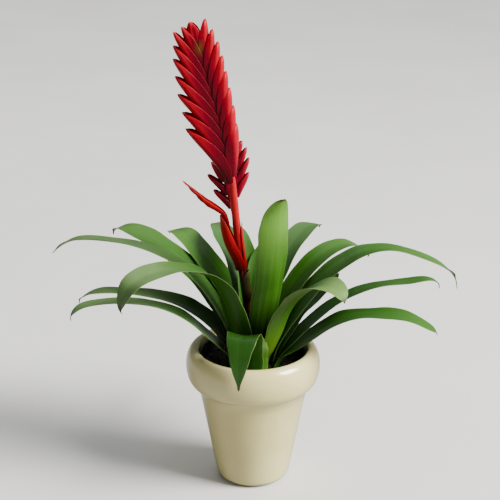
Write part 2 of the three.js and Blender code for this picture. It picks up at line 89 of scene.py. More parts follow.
class SmoothPath:
    """A smooth line through given points, measured along its own length.

    Args:
        points: the points that the line passes through, in millimetres.
    """

    SAMPLES = 60

    def __init__(self, points: list[tuple[float, float, float]]) -> None:
        given = np.array(points, float)
        before = 2.0 * given[0] - given[1]
        after = 2.0 * given[-1] - given[-2]
        padded = np.vstack([before, given, after])
        pieces = [self._segment(*padded[i : i + 4]) for i in range(len(given) - 1)]
        self.points = np.vstack([*pieces, given[-1:]])
        steps = np.linalg.norm(np.diff(self.points, axis=0), axis=1)
        self.distances = np.concatenate([[0.0], np.cumsum(steps)])
        self.length = float(self.distances[-1])

    def _segment(self, a: np.ndarray, b: np.ndarray, c: np.ndarray, d: np.ndarray) -> np.ndarray:
        """Points from b up to, but without, c, on a curve whose bends are eased by the spacing."""
        first, second, third = (np.linalg.norm(q - p) ** 0.5 for p, q in ((a, b), (b, c), (c, d)))
        leaving = ((b - a) / first - (c - a) / (first + second) + (c - b) / second) * second
        arriving = ((c - b) / second - (d - b) / (second + third) + (d - c) / third) * second
        t = np.linspace(0.0, 1.0, self.SAMPLES, endpoint=False)[:, None]
        bend = -3.0 * b + 3.0 * c - 2.0 * leaving - arriving
        twist = 2.0 * b - 2.0 * c + leaving + arriving
        return b + leaving * t + bend * t**2 + twist * t**3

    def at(self, distance: np.ndarray) -> np.ndarray:
        """The points at distances along the line."""
        wanted = np.clip(distance, 0.0, self.length)
        return np.stack([np.interp(wanted, self.distances, column) for column in self.points.T], axis=-1)

    def tangent(self, distance: np.ndarray) -> np.ndarray:
        """The directions of the line at distances along it."""
        reach = 0.2
        ahead = self.at(np.minimum(np.asarray(distance) + reach, self.length))
        behind = self.at(np.maximum(np.asarray(distance) - reach, 0.0))
        along = ahead - behind
        return along / np.linalg.norm(along, axis=-1, keepdims=True)


# ---------------------------------------------------------------- shaping helpers


def deselect_all() -> None:
    """Leaves nothing selected, so that an operator acts on the new piece alone."""
    for item in bpy.context.selected_objects:
        item.select_set(False)


def make_active(piece: bpy.types.Object) -> None:
    """Selects one piece and makes it the active one."""
    deselect_all()
    piece.select_set(True)
    bpy.context.view_layer.objects.active = piece


def apply_modifiers(piece: bpy.types.Object) -> None:
    """Applies a piece's modifiers from the first to the last."""
    make_active(piece)
    for modifier in list(piece.modifiers):
        bpy.ops.object.modifier_apply(modifier=modifier.name)


def shade_smooth(piece: bpy.types.Object, angle: float | None = None) -> None:
    """Shades a piece smooth, but for edges sharper than an angle in degrees."""
    make_active(piece)
    if angle is None:
        bpy.ops.object.shade_smooth()
    else:
        bpy.ops.object.shade_smooth_by_angle(angle=math.radians(angle))


def outward_normals(piece: bpy.types.Object) -> None:
    """Merges doubled vertices and turns every face outwards."""
    make_active(piece)
    bpy.ops.object.mode_set(mode="EDIT")
    bpy.ops.mesh.select_all(action="SELECT")
    bpy.ops.mesh.remove_doubles(threshold=1e-6)
    bpy.ops.mesh.normals_make_consistent(inside=False)
    bpy.ops.object.mode_set(mode="OBJECT")


def subdivided(piece: bpy.types.Object) -> None:
    """Adds and applies one level of Subdivision Surface."""
    modifier = piece.modifiers.new("rounding", "SUBSURF")
    modifier.levels = 1
    modifier.render_levels = 1
    apply_modifiers(piece)


def turned_piece(name: str, profile: list[Row], steps: int) -> bpy.types.Object:
    """Spins a profile round the upright axis.

    Args:
        name: the new piece's name.
        profile: [radius, height] points in millimetres.
        steps: how many faces go round.

    Returns:
        The turned piece, with its place in its mesh.
    """
    deselect_all()
    bpy.ops.mesh.primitive_plane_add(size=MM)
    piece = bpy.context.active_object
    piece.name = name
    bpy.ops.object.mode_set(mode="EDIT")
    shape = bmesh.from_edit_mesh(piece.data)
    shape.verts.ensure_lookup_table()
    for spare in list(shape.verts)[1:]:
        shape.verts.remove(spare)
    shape.verts.ensure_lookup_table()
    start = shape.verts[0]
    start.co = (profile[0][0] * MM, 0.0, profile[0][1] * MM)
    start.select = True
    bmesh.update_edit_mesh(piece.data)
    for (radius, height), (next_radius, next_height) in zip(profile, profile[1:]):
        move = ((next_radius - radius) * MM, 0.0, (next_height - height) * MM)
        bpy.ops.mesh.extrude_vertices_move(TRANSFORM_OT_translate={"value": move})
    bpy.ops.mesh.select_all(action="SELECT")
    bpy.ops.mesh.spin(steps=steps, angle=2.0 * math.pi, center=(0, 0, 0), axis=(0, 0, 1))
    bpy.ops.object.mode_set(mode="OBJECT")
    outward_normals(piece)
    return piece


def vertex_places(mesh: bpy.types.Mesh) -> np.ndarray:
    """The places of a mesh's vertices, one row for each."""
    flat = np.zeros(len(mesh.vertices) * 3)
    mesh.vertices.foreach_get("co", flat)
    return flat.reshape(-1, 3)


def move_vertices(mesh: bpy.types.Mesh, places: np.ndarray) -> None:
    """Moves a mesh's vertices to places given in millimetres."""
    mesh.vertices.foreach_set("co", (places * MM).ravel())
    mesh.update()


def shaped_grid(name: str, surface: "SheetSurface") -> bpy.types.Object:
    """A grid moved onto a surface, one face thick, with across and along kept in its UV map."""
    deselect_all()
    bpy.ops.mesh.primitive_grid_add(x_subdivisions=surface.COLUMNS, y_subdivisions=surface.ROWS, size=1.0)
    piece = bpy.context.active_object
    piece.name = name
    mesh = piece.data
    flat = vertex_places(mesh)
    placed, weight, tint = surface.place(flat[:, 0] + 0.5, flat[:, 1] + 0.5)
    move_vertices(mesh, placed)
    mesh.attributes.new("tint", "FLOAT", "POINT").data.foreach_set("value", tint.astype(np.float32))
    group = piece.vertex_groups.new(name="fullness")
    for index, value in enumerate(weight):
        group.add([index], float(value), "REPLACE")
    return piece


class SheetSurface:
    """A surface that a grid is laid on, with its numbers of faces and its thickness in millimetres."""

    COLUMNS: int
    ROWS: int
    THICKNESS: float

    def place(self, across: np.ndarray, along: np.ndarray) -> tuple[np.ndarray, np.ndarray, np.ndarray]:
        """Lays points on the sheet.

        Args:
            across: each point's share across the sheet.
            along: each point's share along the sheet.

        Returns:
            The points, the share of the full thickness at each, and a value between 0 and 1 that tints it.
        """
        raise NotImplementedError


def thickened(piece: bpy.types.Object, thickness: float) -> None:
    """Gives a sheet its thickness in millimetres, thinner towards its edges."""
    solid = piece.modifiers.new("thickness", "SOLIDIFY")
    solid.thickness = thickness * MM
    solid.offset = 0.0
    solid.vertex_group = "fullness"
    solid.thickness_vertex_group = EDGE_SHARE
    apply_modifiers(piece)
    subdivided(piece)
    piece.vertex_groups.clear()
    shade_smooth(piece)


def finished(piece: bpy.types.Object, material: bpy.types.Material, node: str) -> None:
    """Dresses a piece, hangs it under the root and hides the CAD node that it stands for."""
    piece.data.materials.clear()
    piece.data.materials.append(material)
    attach(piece, ROOT)
    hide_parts(node)
    log.info("%s: %d faces", piece.name, len(piece.data.polygons))


def finished_sheet(
    name: str, surface: SheetSurface, material: bpy.types.Material, node: str
) -> None:
    """Lays a sheet on its surface, thickens it and dresses it."""
    piece = shaped_grid(name, surface)
    thickened(piece, surface.THICKNESS)
    finished(piece, material, node)


# ---------------------------------------------------------------- shader helpers


class Shade:
    """The nodes of one material or effect group, with short ways to add and join them.

    Args:
        tree: the node tree that it fills.
    """

    def __init__(self, tree: bpy.types.NodeTree) -> None:
        self.tree = tree

    def add(self, kind: str, **settings: object) -> bpy.types.Node:
        """Adds a node and sets its own properties."""
        node = self.tree.nodes.new(kind)
        for name, value in settings.items():
            setattr(node, name, value)
        return node

    def feed(self, node: bpy.types.Node, socket: str | int, value: object) -> None:
        """Joins a socket to another node's output, or sets it."""
        target = node.inputs[socket]
        if isinstance(value, bpy.types.NodeSocket):
            self.tree.links.new(value, target)
        else:
            target.default_value = value

    def maths(self, operation: str, a: object, b: object = 0.0, clamp: bool = False) -> bpy.types.NodeSocket:
        """One step of arithmetic."""
        node = self.add("ShaderNodeMath", operation=operation, use_clamp=clamp)
        self.feed(node, 0, a)
        self.feed(node, 1, b)
        return node.outputs[0]

    def ramp(self, value: object, low: float, high: float, start: float = 0.0, end: float = 1.0):
        """A smooth rise from start to end as a value goes from low to high."""
        node = self.add("ShaderNodeMapRange", interpolation_type="SMOOTHSTEP")
        for socket, setting in zip((0, 1, 2, 3, 4), (value, low, high, start, end)):
            self.feed(node, socket, setting)
        return node.outputs[0]

    def mix(self, share: object, a: object, b: object) -> bpy.types.NodeSocket:
        """Two colours mixed by a share."""
        node = self.add("ShaderNodeMix", data_type="RGBA")
        self.feed(node, 0, share)
        for socket, value in ((6, a), (7, b)):
            plain = isinstance(value, tuple)
            self.feed(node, socket, (*value, 1.0) if plain else value)
        return node.outputs[2]

    def over(self, base: object, colour: object, value: object, *steps: float) -> bpy.types.NodeSocket:
        """A colour laid over a base by a ramp of a value."""
        return self.mix(self.ramp(value, *steps), base, colour)

    def place(self) -> bpy.types.NodeSocket:
        """Each point's place on the piece."""
        return self.add("ShaderNodeTexCoord").outputs["Object"]

    def tint(self) -> bpy.types.NodeSocket:
        """The tint that a sheet's surface gave each point."""
        return self.add("ShaderNodeAttribute", attribute_name="tint").outputs["Fac"]

    def split(self, vector: object) -> bpy.types.NodeOutputs:
        """A vector's three parts."""
        node = self.add("ShaderNodeSeparateXYZ")
        self.feed(node, 0, vector)
        return node.outputs

    def off_middle(self, share: object) -> bpy.types.NodeSocket:
        """How far a share across lies from the middle, 0.5 at either edge."""
        return self.maths("ABSOLUTE", self.maths("SUBTRACT", share, 0.5))

    def noise(self, vector: object, scale: float, detail: float = 2.0, rough: float = 0.5):
        """A noise value between 0 and 1."""
        node = self.add("ShaderNodeTexNoise")
        self.feed(node, "Vector", vector)
        self.feed(node, "Scale", scale)
        self.feed(node, "Detail", detail)
        self.feed(node, "Roughness", rough)
        return node.outputs["Fac"]

    def stretched(self, vector: object, scale: tuple[float, float, float]) -> bpy.types.NodeSocket:
        """A vector scaled by different amounts along its axes."""
        node = self.add("ShaderNodeVectorMath", operation="MULTIPLY")
        self.feed(node, 0, vector)
        self.feed(node, 1, scale)
        return node.outputs[0]

    def group(self, tree: bpy.types.NodeTree, **values: object) -> bpy.types.Node:
        """Places an effect group with its own values."""
        node = self.add("ShaderNodeGroup", node_tree=tree)
        for name, value in values.items():
            self.feed(node, name.replace("_", " "), value)
        return node


def effect_group(name: str, inputs: dict[str, tuple[str, object]], outputs: dict[str, str]) -> tuple:
    """A new shader node group with named sockets.

    Args:
        name: the group's name.
        inputs: socket name to its kind and its usual value.
        outputs: socket name to its kind.

    Returns:
        The tree, its helper, and its input and output nodes.
    """
    tree = bpy.data.node_groups.new(name, "ShaderNodeTree")
    for socket, (kind, value) in inputs.items():
        made = tree.interface.new_socket(socket, in_out="INPUT", socket_type=kind)
        if value is not None:
            made.default_value = value
    for socket, kind in outputs.items():
        tree.interface.new_socket(socket, in_out="OUTPUT", socket_type=kind)
    shade = Shade(tree)
    return tree, shade, shade.add("NodeGroupInput"), shade.add("NodeGroupOutput")


class Effects:
    """The effects that several finishes share, each built once."""

    def __init__(self) -> None:
        self.streaks = self._streaks()
        self.flecks = self._flecks()
        self.mottle = self._mottle()

    def _streaks(self) -> bpy.types.NodeTree:
        """Fine lines that run the length of a blade, in two widths."""
        tree, shade, start, end = effect_group(
            "lengthwise_streaks",
            {
                "Surface": ("NodeSocketVector", None),
                "Fine count": ("NodeSocketFloat", 60.0),
                "Broad count": ("NodeSocketFloat", 14.0),
            },
            {"Fine": "NodeSocketFloat", "Broad": "NodeSocketFloat"},
        )
        for name, along in (("Fine", 1.6), ("Broad", 0.8)):
            parts = shade.split(start.outputs["Surface"])
            joined = shade.add("ShaderNodeCombineXYZ")
            shade.feed(joined, 0, shade.maths("MULTIPLY", parts[0], start.outputs[name + " count"]))
            shade.feed(joined, 1, shade.maths("MULTIPLY", parts[1], along))
            shade.feed(joined, 2, parts[2])
            shade.feed(end, name, shade.noise(joined.outputs[0], 1.0, 3.0, 0.6))
        return tree

    def _flecks(self) -> bpy.types.NodeTree:
        """Scattered small round marks."""
        tree, shade, start, end = effect_group(
            "flecks",
            {
                "Place": ("NodeSocketVector", None),
                "Spacing": ("NodeSocketFloat", 120.0),
                "Size": ("NodeSocketFloat", 0.16),
                "Rarity": ("NodeSocketFloat", 0.7),
            },
            {"Mask": "NodeSocketFloat"},
        )
        cells = shade.add("ShaderNodeTexVoronoi", feature="F1")
        shade.feed(cells, "Vector", start.outputs["Place"])
        shade.feed(cells, "Scale", start.outputs["Spacing"])
        pick = shade.add("ShaderNodeSeparateColor")
        shade.feed(pick, 0, cells.outputs["Color"])
        chosen = shade.maths("GREATER_THAN", pick.outputs[0], start.outputs["Rarity"])
        near = shade.maths("SUBTRACT", start.outputs["Size"], cells.outputs["Distance"])
        spot = shade.maths("MULTIPLY", near, 9.0, clamp=True)
        shade.feed(end, "Mask", shade.maths("MULTIPLY", spot, chosen))
        return tree

    def _mottle(self) -> bpy.types.NodeTree:
        """Soft patches of light and dark."""
        tree, shade, start, end = effect_group(
            "mottle",
            {
                "Place": ("NodeSocketVector", None),
                "Patches": ("NodeSocketFloat", 30.0),
            },
            {"Value": "NodeSocketFloat"},
        )
        shade.feed(end, "Value", shade.noise(start.outputs["Place"], start.outputs["Patches"], 3.0))
        return tree


def new_material(name: str) -> tuple[bpy.types.Material, Shade, bpy.types.Node]:
    """A new material with a Principled shader joined to its output."""
    material = bpy.data.materials.new(name)
    material.use_nodes = True
    material.node_tree.nodes.clear()
    shade = Shade(material.node_tree)
    surface = shade.add("ShaderNodeBsdfPrincipled")
    output = shade.add("ShaderNodeOutputMaterial")
    shade.feed(output, "Surface", surface.outputs[0])
    return material, shade, surface


def settle(surface: bpy.types.Node, **settings: object) -> None:
    """Sets a surface's constant sockets, with underscores for the spaces in their names."""
    for name, value in settings.items():
        surface.inputs[name.replace("_", " ")].default_value = value


def add_bump(
    shade: Shade, surface: bpy.types.Node, height: object, distance: float, strength: float
) -> None:
    """Gives a surface fine relief from a height value."""
    bump = shade.add("ShaderNodeBump")
    bump.inputs["Strength"].default_value = strength
    bump.inputs["Distance"].default_value = distance
    shade.feed(bump, "Height", height)
    shade.feed(surface, "Normal", bump.outputs[0])


# ---------------------------------------------------------------- leaves


@dataclass(frozen=True)
class LeafFinish:
    """The waxy green of a blade, from its foot, which painted shade darkens in most tones, to its tip, which is
    partly its own lighter green and partly painted sheen.
    """

    name: str
    # foot: the colour at the foot; in most tones it is painted shade, dark where the sheath sits deep in the
    # rosette
    foot: Colour
    middle: Colour
    # tip: partly the leaf's own lighter green and, in some tones, painted sheen
    tip: Colour
    vein: Colour
    roughness: float = 0.36
    gloss: float = 0.22
    streak: float = 0.42
    lightening: tuple[float, float, float, float] = (0.12, 0.5, 0.5, 0.95)

    def build(self, effects: Effects) -> bpy.types.Material:
        """Makes the material."""
        material, shade, surface = new_material("leaf_" + self.name)
        uv = shade.add("ShaderNodeUVMap", uv_map="UVMap").outputs[0]
        place = shade.place()
        parts = shade.split(uv)
        across = shade.maths("MULTIPLY", shade.off_middle(parts[0]), 2.0)
        along = parts[1]
        streaks = shade.group(effects.streaks, Surface=uv, Fine_count=70.0, Broad_count=13.0)
        fine, broad = streaks.outputs["Fine"], streaks.outputs["Broad"]
        mottle = shade.group(effects.mottle, Place=place, Patches=26.0).outputs[0]
        first, second, third, last = self.lightening
        # the foot colour, painted shade in most tones, gives way to the middle green, then to the tip colour,
        # which is partly painted sheen
        base = shade.mix(shade.ramp(along, first, second), self.foot, self.middle)
        base = shade.over(base, self.tip, along, third, last)
        base = shade.over(base, self.tip, broad, 0.35, 0.75, 0.0, self.streak)
        base = shade.over(base, self.foot, mottle, 0.45, 0.75, 0.0, 0.35)
        base = shade.over(base, self.vein, fine, 0.55, 0.8, 0.0, 0.28)
        # painted highlight: a pale line along each margin stands in for light shining through the leaf's edge
        edge = shade.ramp(across, 0.91, 0.99, 0.0, 0.7)
        base = shade.mix(edge, base, (0.2, 0.3, 0.09))
        flecks = shade.group(effects.flecks, Place=place, Spacing=75.0, Size=0.12, Rarity=0.9)
        base = shade.mix(shade.maths("MULTIPLY", flecks.outputs[0], 0.6), base, (0.12, 0.09, 0.02))
        dry = shade.tint()
        base = shade.mix(dry, base, (0.07, 0.06, 0.03))
        shade.feed(surface, "Base Color", base)
        rough = shade.ramp(fine, 0.3, 0.7, self.roughness - 0.05, self.roughness + 0.12)
        shade.feed(surface, "Roughness", shade.maths("ADD", rough, shade.maths("MULTIPLY", dry, 0.3)))
        settle(surface, Specular_IOR_Level=self.gloss, Coat_Weight=self.gloss * 0.3, Coat_Roughness=0.28,
               Subsurface_Weight=0.05, Subsurface_Radius=(0.3, 0.6, 0.15), Subsurface_Scale=0.002)
        relief = shade.maths("ADD", shade.maths("MULTIPLY", fine, 0.5), broad)
        add_bump(shade, surface, relief, 0.0006, 0.45)
        return material


class LeafTone(Enum):
    """The greens of the rosette."""

    DEEP = LeafFinish("deep", (0.014, 0.062, 0.002), (0.018, 0.082, 0.004), (0.048, 0.14, 0.018),
                      (0.06, 0.16, 0.025), gloss=0.2)
    MIDDLE = LeafFinish("middle", (0.018, 0.075, 0.002), (0.024, 0.095, 0.004), (0.068, 0.17, 0.026),
                        (0.08, 0.18, 0.04), gloss=0.18)
    BRIGHT = LeafFinish("bright", (0.006, 0.036, 0.001), (0.022, 0.085, 0.003), (0.112, 0.26, 0.032),
                        (0.12, 0.24, 0.04), gloss=0.12, streak=0.28, lightening=(0.2, 0.48, 0.5, 0.84))
    DULL = LeafFinish("dull", (0.008, 0.04, 0.004), (0.03, 0.09, 0.014), (0.06, 0.14, 0.033),
                      (0.08, 0.16, 0.06), 0.5)
    # painted sheen: the pale tip stands in for light glancing off the turned outer half of the front left leaf
    SHEEN = LeafFinish("sheen", (0.022, 0.085, 0.001), (0.024, 0.098, 0.002), (0.13, 0.23, 0.07),
                       (0.13, 0.23, 0.08), gloss=0.16, streak=0.12, lightening=(0.12, 0.4, 0.5, 0.78))
    # painted sheen: the pale tip stands in for light glancing off the long leaves on the left
    PALE = LeafFinish("pale", (0.014, 0.06, 0.002), (0.028, 0.1, 0.005), (0.112, 0.215, 0.056),
                      (0.11, 0.21, 0.06), gloss=0.22, streak=0.16, lightening=(0.1, 0.34, 0.4, 0.7))
    FRESH = LeafFinish("fresh", (0.075, 0.165, 0.008), (0.034, 0.11, 0.005), (0.115, 0.21, 0.05),
                       (0.1, 0.2, 0.04), gloss=0.18, streak=0.2, lightening=(0.2, 0.46, 0.5, 0.8))
    GLOSSY = LeafFinish("glossy", (0.01, 0.05, 0.002), (0.014, 0.066, 0.003), (0.022, 0.09, 0.006),
                        (0.04, 0.12, 0.02), 0.28, gloss=0.34)


@dataclass(frozen=True)
class Leaf(SheetSurface):
    """One strap leaf, from its sheath in the soil to its dried cusp.

    The path is [reach, height above the rim] along its middle, in millimetres. Headings, roll and low roll, that
    of its lower half, are in degrees. Rounding is the station where it starts to narrow to its tip, pointed how
    sharply it does so, and cusp the share of its length that is dried.
    Hook is how far the cusp curls over.
    """

    name: str
    order: int
    heading: float
    half_width: float
    channel: float
    path: tuple[Row, ...]
    tone: LeafTone
    roll: float = 0.0
    foot_heading: float | None = None
    hook: float = 120.0
    low_roll: float = 0.0
    rounding: float = 0.8
    pointed: float = 0.0
    cusp: float = 0.022

    INNER_RADIUS = 5.6
    SHEATH_STEP = 1.15
    SHEATH_SPREAD = 2.6
    THICKNESS = 0.95
    COLUMNS = 14
    ROWS = 78
    CUSP_HALF_WIDTH = 1.25

    @property
    def node(self) -> str:
        """The name of its CAD node."""
        return "leaf_" + self.name

    @property
    def blade_end(self) -> float:
        """The station where the blade ends and its dried cusp begins."""
        return 1.0 - self.cusp

    def _stations(self, along: np.ndarray) -> np.ndarray:
        """Grid shares spread so that the tip has the finest rows."""
        return along + 0.055 * np.sin(math.pi * along) * along

    def _midrib(self) -> SmoothPath:
        """The middle line, in the upright plane of the leaf."""
        foot = self.INNER_RADIUS + self.SHEATH_STEP * self.order
        reach, height = self.path[0]
        soil = SOIL_TOP - RIM_TOP
        floor = POCKET_FLOOR - RIM_TOP
        low = [
            (foot, floor),
            (foot, floor + (soil - floor) * 0.58),
            (foot + (reach - foot) * 0.3, soil + (height - soil) * 0.4),
        ]
        return SmoothPath([(r, 0.0, RIM_TOP + h) for r, h in (*low, *self.path)])

    def _half_width(self, t: np.ndarray) -> np.ndarray:
        """Half the blade's width at its stations: the sheath, the strap, the rounded tip and the cusp."""
        foot = self.INNER_RADIUS + self.SHEATH_STEP * self.order
        sheath = self.SHEATH_SPREAD * math.sqrt(foot)
        strap = sheath + (self.half_width - sheath) * smoothstep(t, 0.05, 0.36)
        beyond = np.clip((t - self.rounding) / (self.blade_end - self.rounding), 0.0, 1.0)
        blunt = np.sqrt(1.0 - beyond**2) * (1.0 - 0.18 * beyond)
        rounded = blunt + self.pointed * (1.0 - beyond**1.25 - blunt)
        crumple = 1.0 + 0.35 * np.sin(310.0 * t + self.order)
        cusp = self.CUSP_HALF_WIDTH * (1.0 - 0.8 * smoothstep(t, self.blade_end, 1.0)) * crumple
        ripple = 1.0 + 0.018 * np.sin(31.0 * t + self.order) + 0.012 * np.sin(57.0 * t + 2.3 * self.order)
        return np.maximum(strap * rounded * ripple, cusp)

    def _curled(self, t: np.ndarray, centre: np.ndarray, along: np.ndarray) -> tuple[np.ndarray, np.ndarray]:
        """Bends the middle line over beyond the blade's end, so that the dry cusp curls."""
        start = self.blade_end - 0.018
        turn = math.radians(self.hook) * smoothstep(t, start, 1.02)
        sideways = math.radians(self.hook * 0.5) * math.sin(2.1 * self.order) * smoothstep(t, start, 1.02)
        cos, sin = np.cos(turn), np.sin(turn)
        bent = np.stack(
            [along[:, 0] * cos + along[:, 2] * sin, np.sin(sideways), along[:, 2] * cos - along[:, 0] * sin],
            axis=-1,
        )
        bent /= np.linalg.norm(bent, axis=-1, keepdims=True)
        steps = np.linalg.norm(np.diff(centre, axis=0), axis=1)
        moved = centre.copy()
        for index in range(1, len(t)):
            if t[index] > start:
                heading = (bent[index] + bent[index - 1]) / 2.0
                moved[index] = moved[index - 1] + heading * steps[index - 1]
        return moved, bent

    def place(self, across: np.ndarray, along: np.ndarray) -> tuple[np.ndarray, np.ndarray, np.ndarray]:
        """Puts grid points on the blade. See SheetSurface."""
        rows = np.unique(np.round(along, 6))
        t = self._stations(rows)
        path = self._midrib()
        centre, tangent = self._curled(t, path.at(t * path.length), path.tangent(t * path.length))
        half_width = self._half_width(t)
        reach = np.maximum(path.at(t * path.length)[:, 0], 1.0)
        lift = self.channel * half_width * smoothstep(t, 0.3, 0.5)
        low = smoothstep(t, 0.08, 0.26) * (1.0 - smoothstep(t, 0.42, 0.66))
        roll = math.radians(self.roll) * smoothstep(t, 0.25, 0.7) + math.radians(self.low_roll) * low
        foot_heading = self.heading if self.foot_heading is None else self.foot_heading
        heading = np.radians(foot_heading + (self.heading - foot_heading) * smoothstep(t, 0.1, 0.55))
        pick = np.searchsorted(rows, np.round(along, 6))
        share = across * 2.0 - 1.0
        side = 0.45 * share + 0.55 * np.sin(share * math.pi / 2.0)
        centre, tangent, roll, heading = centre[pick], tangent[pick], roll[pick], heading[pick]
        half_width, reach, lift, t = half_width[pick], reach[pick], lift[pick], t[pick]
        upwards = np.stack([-tangent[:, 2], np.zeros_like(t), tangent[:, 0]], axis=-1)
        upwards /= np.maximum(np.linalg.norm(upwards, axis=-1, keepdims=True), 1e-6)
        turn = side * half_width / reach
        arc = np.stack([reach * (np.cos(turn) - 1.0), reach * np.sin(turn), np.zeros_like(t)], axis=-1)
        wave = np.sin(23.0 * t + 1.7 * self.order + 1.5 * np.sign(side)) * smoothstep(t, 0.35, 0.6)
        raised = 1.2 * lift * np.abs(side) ** 1.4 + 0.45 * wave * side**2 * smoothstep(half_width, 1.0, 6.0)
        arc += upwards * raised[:, None]
        arc = rotated(arc, tangent, roll)
        place = rotated(centre + arc, np.array([[0.0, 0.0, 1.0]]), heading)
        weight = np.clip(1.0 - 0.85 * np.abs(side) ** 3, 0.0, 1.0) * (1.0 - 0.35 * smoothstep(t, 0.2, 1.0))
        return place, weight, smoothstep(t, self.blade_end - 0.022, self.blade_end)

    def build(self, materials: dict[LeafTone, bpy.types.Material]) -> None:
        """Models the leaf and dresses it."""
        finished_sheet(self.node + "_blade", self, materials[self.tone], self.node)


def rotated(points: np.ndarray, axes: np.ndarray, angles: np.ndarray) -> np.ndarray:
    """Turns points about axes through the origin, each by its own angle."""
    cos, sin = np.cos(angles)[:, None], np.sin(angles)[:, None]
    axes = np.broadcast_to(axes, points.shape)
    dot = np.sum(axes * points, axis=-1, keepdims=True)
    return points * cos + np.cross(axes, points) * sin + axes * dot * (1.0 - cos)


@dataclass
class Rosette:
    """All the leaves, from the innermost sheath outwards."""

    effects: Effects

    def leaves(self) -> list[Leaf]:
        """The leaves and their sizes."""
        deep, middle, bright, dull, sheen, pale, fresh, glossy = LeafTone
        given: list[dict] = [
            dict(name="front_upright", heading=-56, half_width=16, channel=0.16, tone=bright, hook=150,
                 path=((13, 5), (20, 29), (28, 56), (34, 86), (36, 112), (38, 133), (44, 148))),
            dict(name="back_young_right", heading=70, half_width=10.5, channel=0.06, tone=deep,
                 path=((9.5, 26), (13, 46), (17, 64), (23, 78), (31, 88))),
            dict(name="back_young", heading=108, half_width=9.5, channel=0.1, tone=deep,
                 path=((14, 34), (18, 56), (23, 73), (29, 87), (36, 100))),
            dict(name="back_torn", heading=112, half_width=12, channel=0.12, tone=dull,
                 path=((17, 26), (22, 44), (31, 61), (44, 72), (60, 79), (80, 84), (98, 84))),
            dict(name="back_right", heading=55, half_width=11.5, channel=0.12, tone=dull,
                 path=((19, 26), (26, 42), (38, 57), (52, 70), (68, 80), (88, 86), (112, 81))),
            dict(name="back_left", heading=128, half_width=12.5, channel=0.12, tone=middle,
                 path=((20.6, 20), (28.6, 33.5), (42, 45), (59, 55), (78, 65), (93, 72), (107, 76),
                       (131, 71))),
            dict(name="front_left", heading=216, foot_heading=238, half_width=15.5, channel=0.14,
                 tone=sheen,
                 path=((18, 3), (23, 23), (29, 45), (37, 63), (50, 77), (69, 85), (88, 89), (120, 83),
                       (133, 61))),
            dict(name="front_right", heading=-40, half_width=16.5, low_roll=6, channel=0.14, tone=fresh,
                 path=((19.7, -1), (26.6, 14), (34, 31.5), (43, 48), (55, 62), (69, 72), (81, 75),
                       (90, 73), (98, 64))),
            dict(name="left_longest", heading=170, half_width=12.5, roll=11, channel=0.16, tone=pale,
                 hook=25, rounding=0.86, cusp=0.03,
                 path=((21.6, 12), (30.8, 33), (43, 51.5), (59, 67), (78, 77), (97, 84), (120, 88),
                       (160, 87), (180, 75))),
            dict(name="left_high", heading=146, half_width=14, channel=0.12, tone=middle,
                 path=((24, 8), (31, 23), (40, 34), (55, 48), (78, 62), (101, 73), (124, 80), (144, 82),
                       (159, 75))),
            dict(name="right_arched", heading=34, half_width=13, channel=0.12, tone=middle,
                 path=((24, 17), (34, 34), (49, 51), (68, 66), (86, 73), (107, 73), (132, 57))),
            dict(name="right_longest", heading=8, half_width=14, roll=-4, low_roll=8, hook=40,
                 channel=0.14, tone=middle, rounding=0.86, cusp=0.05,
                 path=((26.5, 11), (36, 28), (49, 46.5), (64, 62), (80, 73), (96, 81), (119, 83),
                       (143, 76), (174, 60), (185, 45))),
            dict(name="left_middle", heading=172, half_width=13, roll=8, low_roll=-6, channel=0.14,
                 tone=pale,
                 path=((26, 6), (38, 22), (55, 33), (73, 39), (91, 42), (113, 43), (142, 41), (158, 33))),
            dict(name="right_short", heading=28, half_width=12, channel=0.14, tone=deep,
                 path=((28, 1), (38, 11.5), (50.5, 25.5), (65, 36), (76, 44), (88, 53))),
            dict(name="right_middle", heading=-2, half_width=12, roll=-8, low_roll=5, channel=0.14,
                 tone=deep,
                 path=((30, 0), (41, 14), (54, 27), (71, 40), (88, 50), (109, 57), (131, 60), (152, 63),
                       (162, 58))),
            dict(name="left_low", heading=196, half_width=13, roll=9, low_roll=-6, channel=0.12, tone=pale,
                 path=((29, 1), (42, 16), (60, 33), (82, 45), (107, 52), (134, 54), (149, 52), (160, 43))),
            dict(name="right_low", heading=-14, half_width=14, roll=-3, low_roll=9, channel=0.12,
                 tone=deep,
                 path=((30, -3), (42, 7), (57, 19), (75, 31), (92, 37), (113, 40), (134, 39), (161, 28))),
            dict(name="back_low", heading=86, half_width=13, channel=0.1, tone=middle,
                 path=((30, 1), (39, 17), (55, 28), (80, 31), (105, 25), (125, 13), (135, 3))),
            dict(name="back_right_low", heading=58, half_width=13, channel=0.1, tone=middle,
                 path=((31, -2), (42, 13), (60, 23), (82, 26), (100, 21), (112, 11))),
            dict(name="front_short", heading=-80, half_width=8.5, channel=0.05, tone=fresh, rounding=0.7,
                 pointed=0.4,
                 path=((27.5, 0), (28.5, 11), (31, 24))),
            dict(name="front_drooping", heading=-101, half_width=14.5, channel=0.1, tone=glossy, hook=20,
                 rounding=0.52, pointed=0.85,
                 path=((29.5, 2), (32, 15), (39, 26), (48, 27), (56, 19), (61, 6), (63, -14))),
        ]
        return [Leaf(order=order, **facts) for order, facts in enumerate(given)]

    def build(self) -> None:
        """Models every leaf."""
        materials = {tone: tone.value.build(self.effects) for tone in LeafTone}
        for leaf in self.leaves():
            leaf.build(materials)


# ---------------------------------------------------------------- flower stem and bracts


